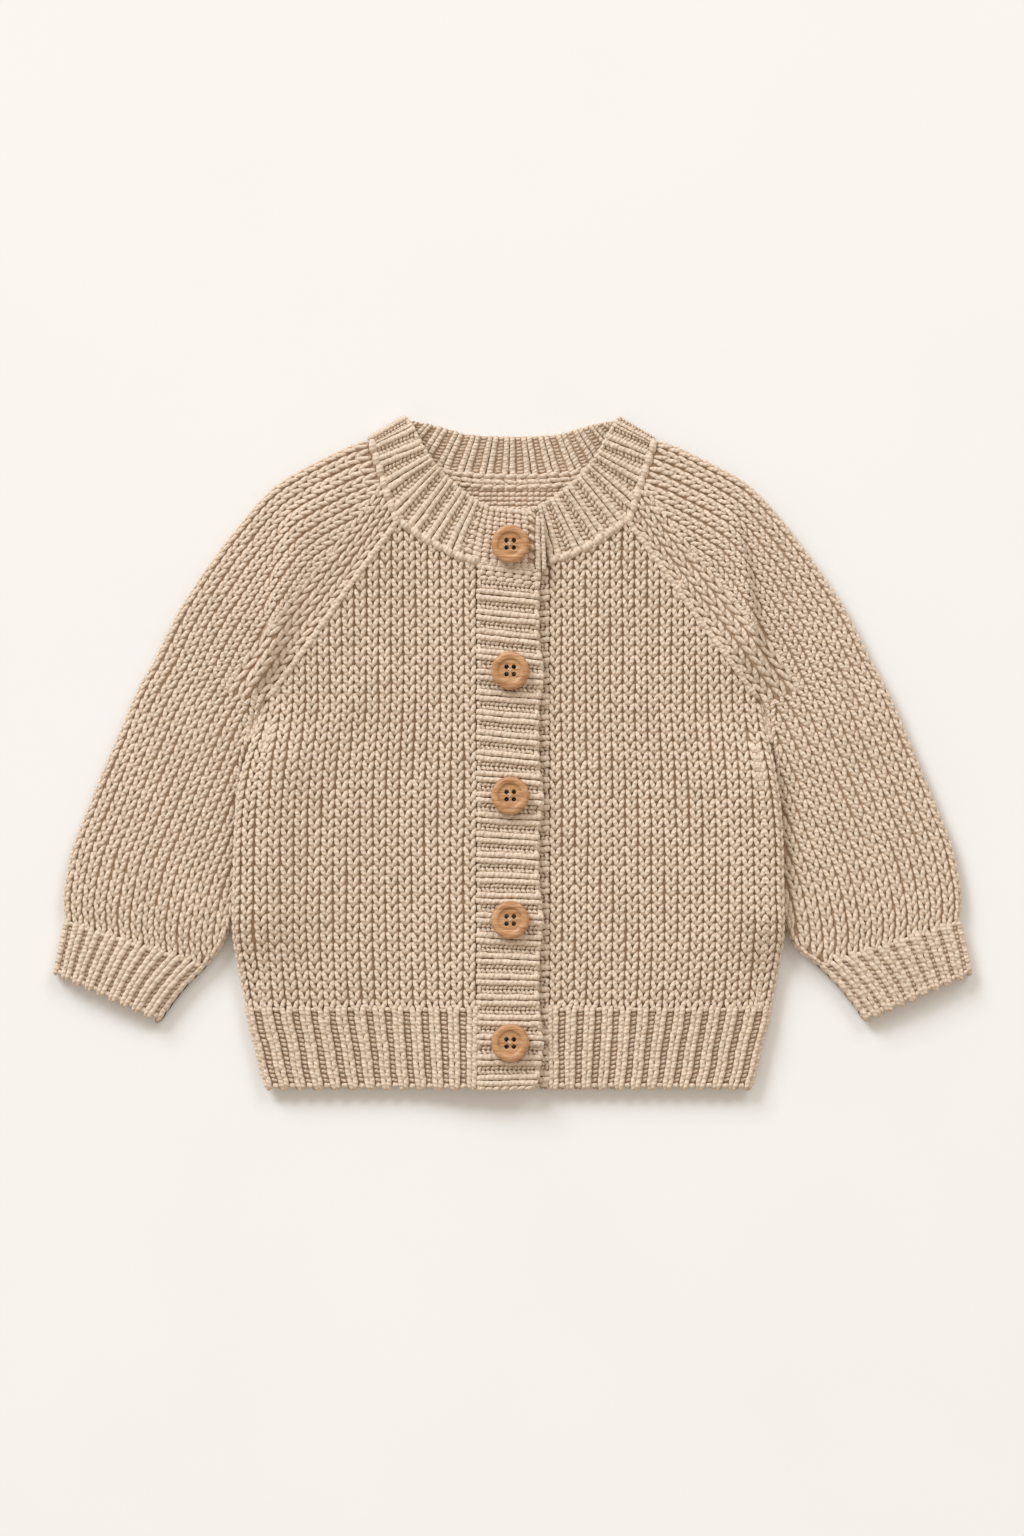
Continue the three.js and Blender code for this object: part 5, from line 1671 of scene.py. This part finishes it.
@dataclass(frozen=True)
class Button:
    """A turned wooden button with a dished face and four sewing holes, sewn on with a cross."""

    number: int
    height: float
    radius: float = 8.55
    thickness: float = 3.8
    dish_radius: float = 6.1
    dish: float = 0.9
    rim_width: float = 1.6
    slope_width: float = 1.3
    hub: float = 0.4
    hole_radius: float = 1.05
    hole_offset: float = 1.62
    thread_radius: float = 0.24
    strand_length: float = 5.0
    segments: int = 64
    hole_sides: int = 16
    thread_sides: int = 8

    @property
    def underside(self) -> float:
        """Height of the button's underside, just over the band's ribs."""
        return FRONT_TOP + BAND_RISE - RIB_SINK + RIB_RAISE + SEAM_GAP

    def turned(self) -> MeshData:
        """The profile turned about the button's axis.

        The rim is a half ellipse, the face a flat lip and then a cosine slope into the dish.
        """
        lean = np.linspace(-math.pi / 2, math.pi / 2, 17)
        rim_x = self.radius - self.rim_width + self.rim_width * np.cos(lean)
        rim_z = self.thickness / 2 * (1 + np.sin(lean))
        slope = np.linspace(0, 1, 7)
        lip = np.linspace(self.radius - self.rim_width - 0.3, self.dish_radius, 3)
        dish_x = self.dish_radius - self.slope_width * slope[1:]
        dish_z = self.thickness - self.dish * (0.5 - 0.5 * np.cos(math.pi * slope[1:]))
        floor = np.linspace(self.dish_radius - self.slope_width, self.hub, 5)[1:]
        x = np.concatenate([[self.hub], rim_x, lip, dish_x, floor])
        z = np.concatenate([[0.0], rim_z, np.full(3, self.thickness), dish_z,
                            np.full(4, self.thickness - self.dish)])
        angle = 2 * math.pi * np.arange(self.segments) / self.segments
        rings = np.stack([x[:, None] * np.cos(angle), x[:, None] * np.sin(angle),
                          np.broadcast_to(z[:, None], (len(z), self.segments))], axis=-1)
        points = np.concatenate([rings.reshape(-1, 3), [[0, 0, 0], [0, 0, z[-1]]]])
        index = np.arange(len(x) * self.segments).reshape(len(x), self.segments)
        following = np.roll(index, -1, axis=1)
        quads = ring_quads(index)
        low, high = len(points) - 2, len(points) - 1
        start = np.stack([np.full(self.segments, low), following[0], index[0]], axis=-1)
        end = np.stack([np.full(self.segments, high), index[-1], following[-1]], axis=-1)
        corners = np.concatenate([quads.ravel(), start.ravel(), end.ravel()])
        sizes = np.concatenate([np.full(len(quads), 4), np.full(2 * self.segments, 3)])
        points = points + np.array([BUTTON_X, self.height, self.underside])
        return MeshData(points, corners, sizes).outward()

    def hole_centres(self) -> Array:
        """The four holes at the corners of a square."""
        signs = np.array([[-1, -1], [1, -1], [1, 1], [-1, 1]])
        return signs * self.hole_offset + np.array([BUTTON_X, self.height])

    def cutter(self) -> bpy.types.Object:
        """Four rods, which the holes are cut with; their near-black painted-shade material goes onto the
        hole walls.
        """
        parts = []
        sides = self.hole_sides
        angle = 2 * math.pi * np.arange(sides) / sides
        levels = (self.underside - 1, self.underside + self.thickness + 1)
        index = np.arange(2 * sides).reshape(2, sides)
        corners = np.concatenate([ring_quads(index).ravel(), index[0][::-1], index[1]])
        sizes = np.concatenate([np.full(sides, 4), [sides, sides]])
        for x, y in self.hole_centres():
            ring = (x + self.hole_radius * np.cos(angle), y + self.hole_radius * np.sin(angle))
            points = np.concatenate([np.column_stack([*ring, np.full(sides, z)]) for z in levels])
            parts.append(MeshData(points, corners, sizes).outward())
        return join(parts).make(f"hole_cutter_{self.number}", Finish.HOLE)

    def threads(self) -> MeshData:
        """A strand over each diagonal, a tube that arches out of one hole into the other.

        The middle line is straight in plan and rises with the root of the sine of its way.
        """
        centres = self.hole_centres()
        way = np.linspace(0, 1, 15)
        sides = self.thread_sides
        angle = 2 * math.pi * np.arange(sides) / sides
        face = self.underside + self.thickness - self.dish
        parts = []
        for first, last, level in ((0, 2, 0.0), (1, 3, 0.35)):
            run = centres[last] - centres[first]
            square = np.append(np.array([-run[1], run[0]]) / np.hypot(*run), 0.0)
            line = centres[first] + run * (0.2 + 0.6 * way[:, None])
            z = face - 1.3 + (1.45 + level) * np.sin(math.pi * way) ** 0.35
            centre = np.column_stack([line, z])
            ahead = np.gradient(centre, axis=0)
            ahead /= np.linalg.norm(ahead, axis=1, keepdims=True)
            sideways = np.tile(square, (len(way), 1))
            upwards = np.cross(sideways, ahead)
            rings = centre[:, None] + self.thread_radius * (
                sideways[:, None] * np.cos(angle)[None, :, None]
                + upwards[:, None] * np.sin(angle)[None, :, None])
            index = np.arange(len(way) * sides).reshape(len(way), sides)
            quads = ring_quads(index)
            corners = np.concatenate([quads.ravel(), index[0][::-1], index[-1]])
            sizes = np.concatenate([np.full(len(quads), 4), [sides, sides]])
            around = corners % sides / sides
            along = corners // sides / (len(way) - 1) * self.strand_length / SewingThread.twist_pitch
            uv = np.stack([along * WAVE_STEP, around * WAVE_STEP], axis=-1)
            parts.append(MeshData(rings.reshape(-1, 3), corners, sizes, uv).outward())
        return join(parts)

    def build(self) -> None:
        """Turns the button, cuts its holes, and sews it on."""
        wood = self.turned().make(f"button_{self.number}_wood", Finish.WOOD)
        cutter = self.cutter()
        holes = wood.modifiers.new("holes", "BOOLEAN")
        holes.operation = "DIFFERENCE"
        holes.solver = "EXACT"
        # The hole walls take the cutter's material: near-black painted shade.
        holes.material_mode = "TRANSFER"
        holes.object = cutter
        shaped = bpy.data.meshes.new_from_object(
            wood.evaluated_get(bpy.context.evaluated_depsgraph_get()))
        wood.modifiers.clear()
        wood.data = shaped
        bpy.data.objects.remove(cutter)
        thread = self.threads().make(f"button_{self.number}_thread", Finish.THREAD)
        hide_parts(f"button_{self.number}")


@dataclass(frozen=True)
class SeamStrip:
    """A strip of the cloth along a seam, which is a line of places in plan."""

    line: tuple
    side: int
    pitch: float

    def along(self) -> tuple[Array, Array]:
        """The line's places and the distance travelled at each."""
        places = np.array(self.line, dtype=float)
        return places, np.concatenate([[0], np.cumsum(np.hypot(*np.diff(places, axis=0).T))])

    def place(self, column: Array, row: Array, depth: Array) -> tuple[Array, Array, Array]:
        """Rows run along the line; a column is a millimetre to the left of it."""
        places, travelled = self.along()
        at = row * self.pitch
        x, y = (np.interp(at, travelled, places[:, i]) for i in (0, 1))
        ahead_x, ahead_y = (
            np.interp(at + 2, travelled, places[:, i]) - np.interp(at - 2, travelled, places[:, i])
            for i in (0, 1))
        size = np.maximum(np.hypot(ahead_x, ahead_y), 0.1)
        x, y = x - ahead_y / size * column, y + ahead_x / size * column
        return self.side * x, y, BODY_SHAPE.front_surface(self.side, self.side * x, y) - depth

    def add_to(self, yarn: Yarn, leg: Leg, column: float) -> None:
        """One grain to each pitch of the line."""
        _, travelled = self.along()
        rows = np.arange(int(travelled[-1] / self.pitch)) + 0.5
        yarn.knit(self.place, np.full(rows.shape, column), rows, leg, column_width=1.0,
                  row_height=self.pitch)


def pick_up_chain(yarn: Yarn, side: int) -> None:
    """Adds the chain of picked-up stitches along the foot of the neckband, at the front.

    Args:
        yarn: the neckband's yarn.
        side: +1 for the left side.
    """
    leg = Leg(foot=(-1.0, -3.7), tip=(1.0, 3.7), half_width=1.95, half_height=1.6,
              middle=0.1, ends=1.5, paired=False)
    strip = SeamStrip(tuple((s[0], s[1]) for s in NECK_SHAPE.front) + ((64.6, 142.6),), side, 5.6)
    strip.add_to(yarn, leg, -0.4)


# ---- The studio ----


@dataclass(frozen=True)
class Studio:
    """Floor, light and camera. The camera looks straight down from above the middle.

    Sizes are in metres, but lens, sensor and the floor's level are in millimetres.
    """

    floor_size: float = 8.0
    floor_level: float = -0.05
    view_height: float = 0.6912
    lens: float = 100.0
    sensor: float = 36.0
    garment_height: float = 0.006
    look_at: tuple[float, float] = (-0.0002, -0.007)

    def floor(self) -> None:
        """A flat card under the garment."""
        half, level = self.floor_size / 2, self.floor_level * MM
        corners = ((-half, -half), (half, -half), (half, half), (-half, half))
        made = bpy.data.meshes.new("ground")
        made.from_pydata([(x, y, level) for x, y in corners], [], [(0, 1, 2, 3)])
        made.materials.append(Finish.GROUND.material())
        add_object("ground", made)

    def camera(self) -> None:
        """The photograph is taken square down onto the floor."""
        data = bpy.data.cameras.new("camera")
        data.lens = self.lens
        data.sensor_width = self.sensor
        data.clip_end = 50.0
        camera = add_object("camera", data)
        distance = self.view_height * self.lens / self.sensor
        camera.location = (*self.look_at, distance + self.garment_height)
        bpy.context.scene.camera = camera

    def lamp(self, name: str, azimuth: float, elevation: float, distance: float, size: float,
             power: float, colour: str) -> None:
        """A square area lamp that faces the middle of the garment.

        Args:
            name: the lamp's name.
            azimuth: degrees round from +X.
            elevation: degrees above the floor.
            distance: metres from the middle.
            size: metres on a side.
            power: watts.
            colour: sRGB hex.
        """
        data = bpy.data.lights.new(name, "AREA")
        data.size = size
        data.energy = power
        data.color = linear(colour)[:3]
        lamp = add_object(name, data)
        turn, rise = math.radians(azimuth), math.radians(elevation)
        flat = math.cos(rise) * distance
        lamp.location = (flat * math.cos(turn), flat * math.sin(turn), distance * math.sin(rise))
        lamp.rotation_euler = (math.pi / 2 - rise, 0.0, turn + math.pi / 2)

    def light(self) -> None:
        """A soft key from the upper left, a weaker fill from the upper right, and a pale surround."""
        self.lamp("key", 126.0, 29.0, 14.0, 5.6, 1560.0, "f0f7ff")
        self.lamp("fill", 62.0, 35.0, 14.0, 5.0, 480.0, "f4f8ff")
        world = bpy.data.worlds.new("surround")
        world.use_nodes = True
        surround = world.node_tree.nodes["Background"].inputs
        surround["Color"].default_value = linear("fff3e4")
        surround["Strength"].default_value = 0.62
        bpy.context.scene.world = world
        bpy.context.scene.view_settings.view_transform = "Standard"

    def build(self) -> None:
        """Sets up all of it."""
        self.camera()
        self.light()
        self.floor()


def knit_pieces() -> list[KnitPiece]:
    """Every knitted piece with the size that it was made to, in millimetres."""
    return [
        BackPanel("back_panel", "knit", (248, 245), 48500),
        FrontPanel("front_right", "knit", (110, 220), 19500, side=-1),
        FrontPanel("front_left", "knit", (110, 220), 19500, side=1),
        Sleeve("sleeve_right", "knit", (150, 240), 28500, side=-1),
        Sleeve("sleeve_left", "knit", (150, 240), 28500, side=1),
        BackHem("hem_rib_back", "rib", (237, 36)),
        FrontHem("hem_rib_front_right", "rib", (104, 36), side=-1),
        FrontHem("hem_rib_front_left", "rib", (104, 36), side=1),
        Cuff("cuff_right", "rib", (130, 25), side=-1),
        Cuff("cuff_left", "rib", (130, 25), side=1),
        Neckband("neckband", "rib", (340, 23)),
        FrontBand("buttonhole_band", "rib", (237, 28), kind=BandKind.BUTTONHOLE),
        FrontBand("button_band", "rib", (236, 28), kind=BandKind.BUTTON),
    ]


def main() -> None:
    """Builds the studio and every piece in order."""
    logging.basicConfig(level=logging.INFO, format="%(message)s")
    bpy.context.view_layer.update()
    Studio().build()
    for piece in knit_pieces():
        piece.build()
    for number, height in enumerate(BUTTON_HEIGHTS, start=1):
        Button(number, height).build()
    bpy.context.view_layer.update()


if __name__ == "__main__":
    main()
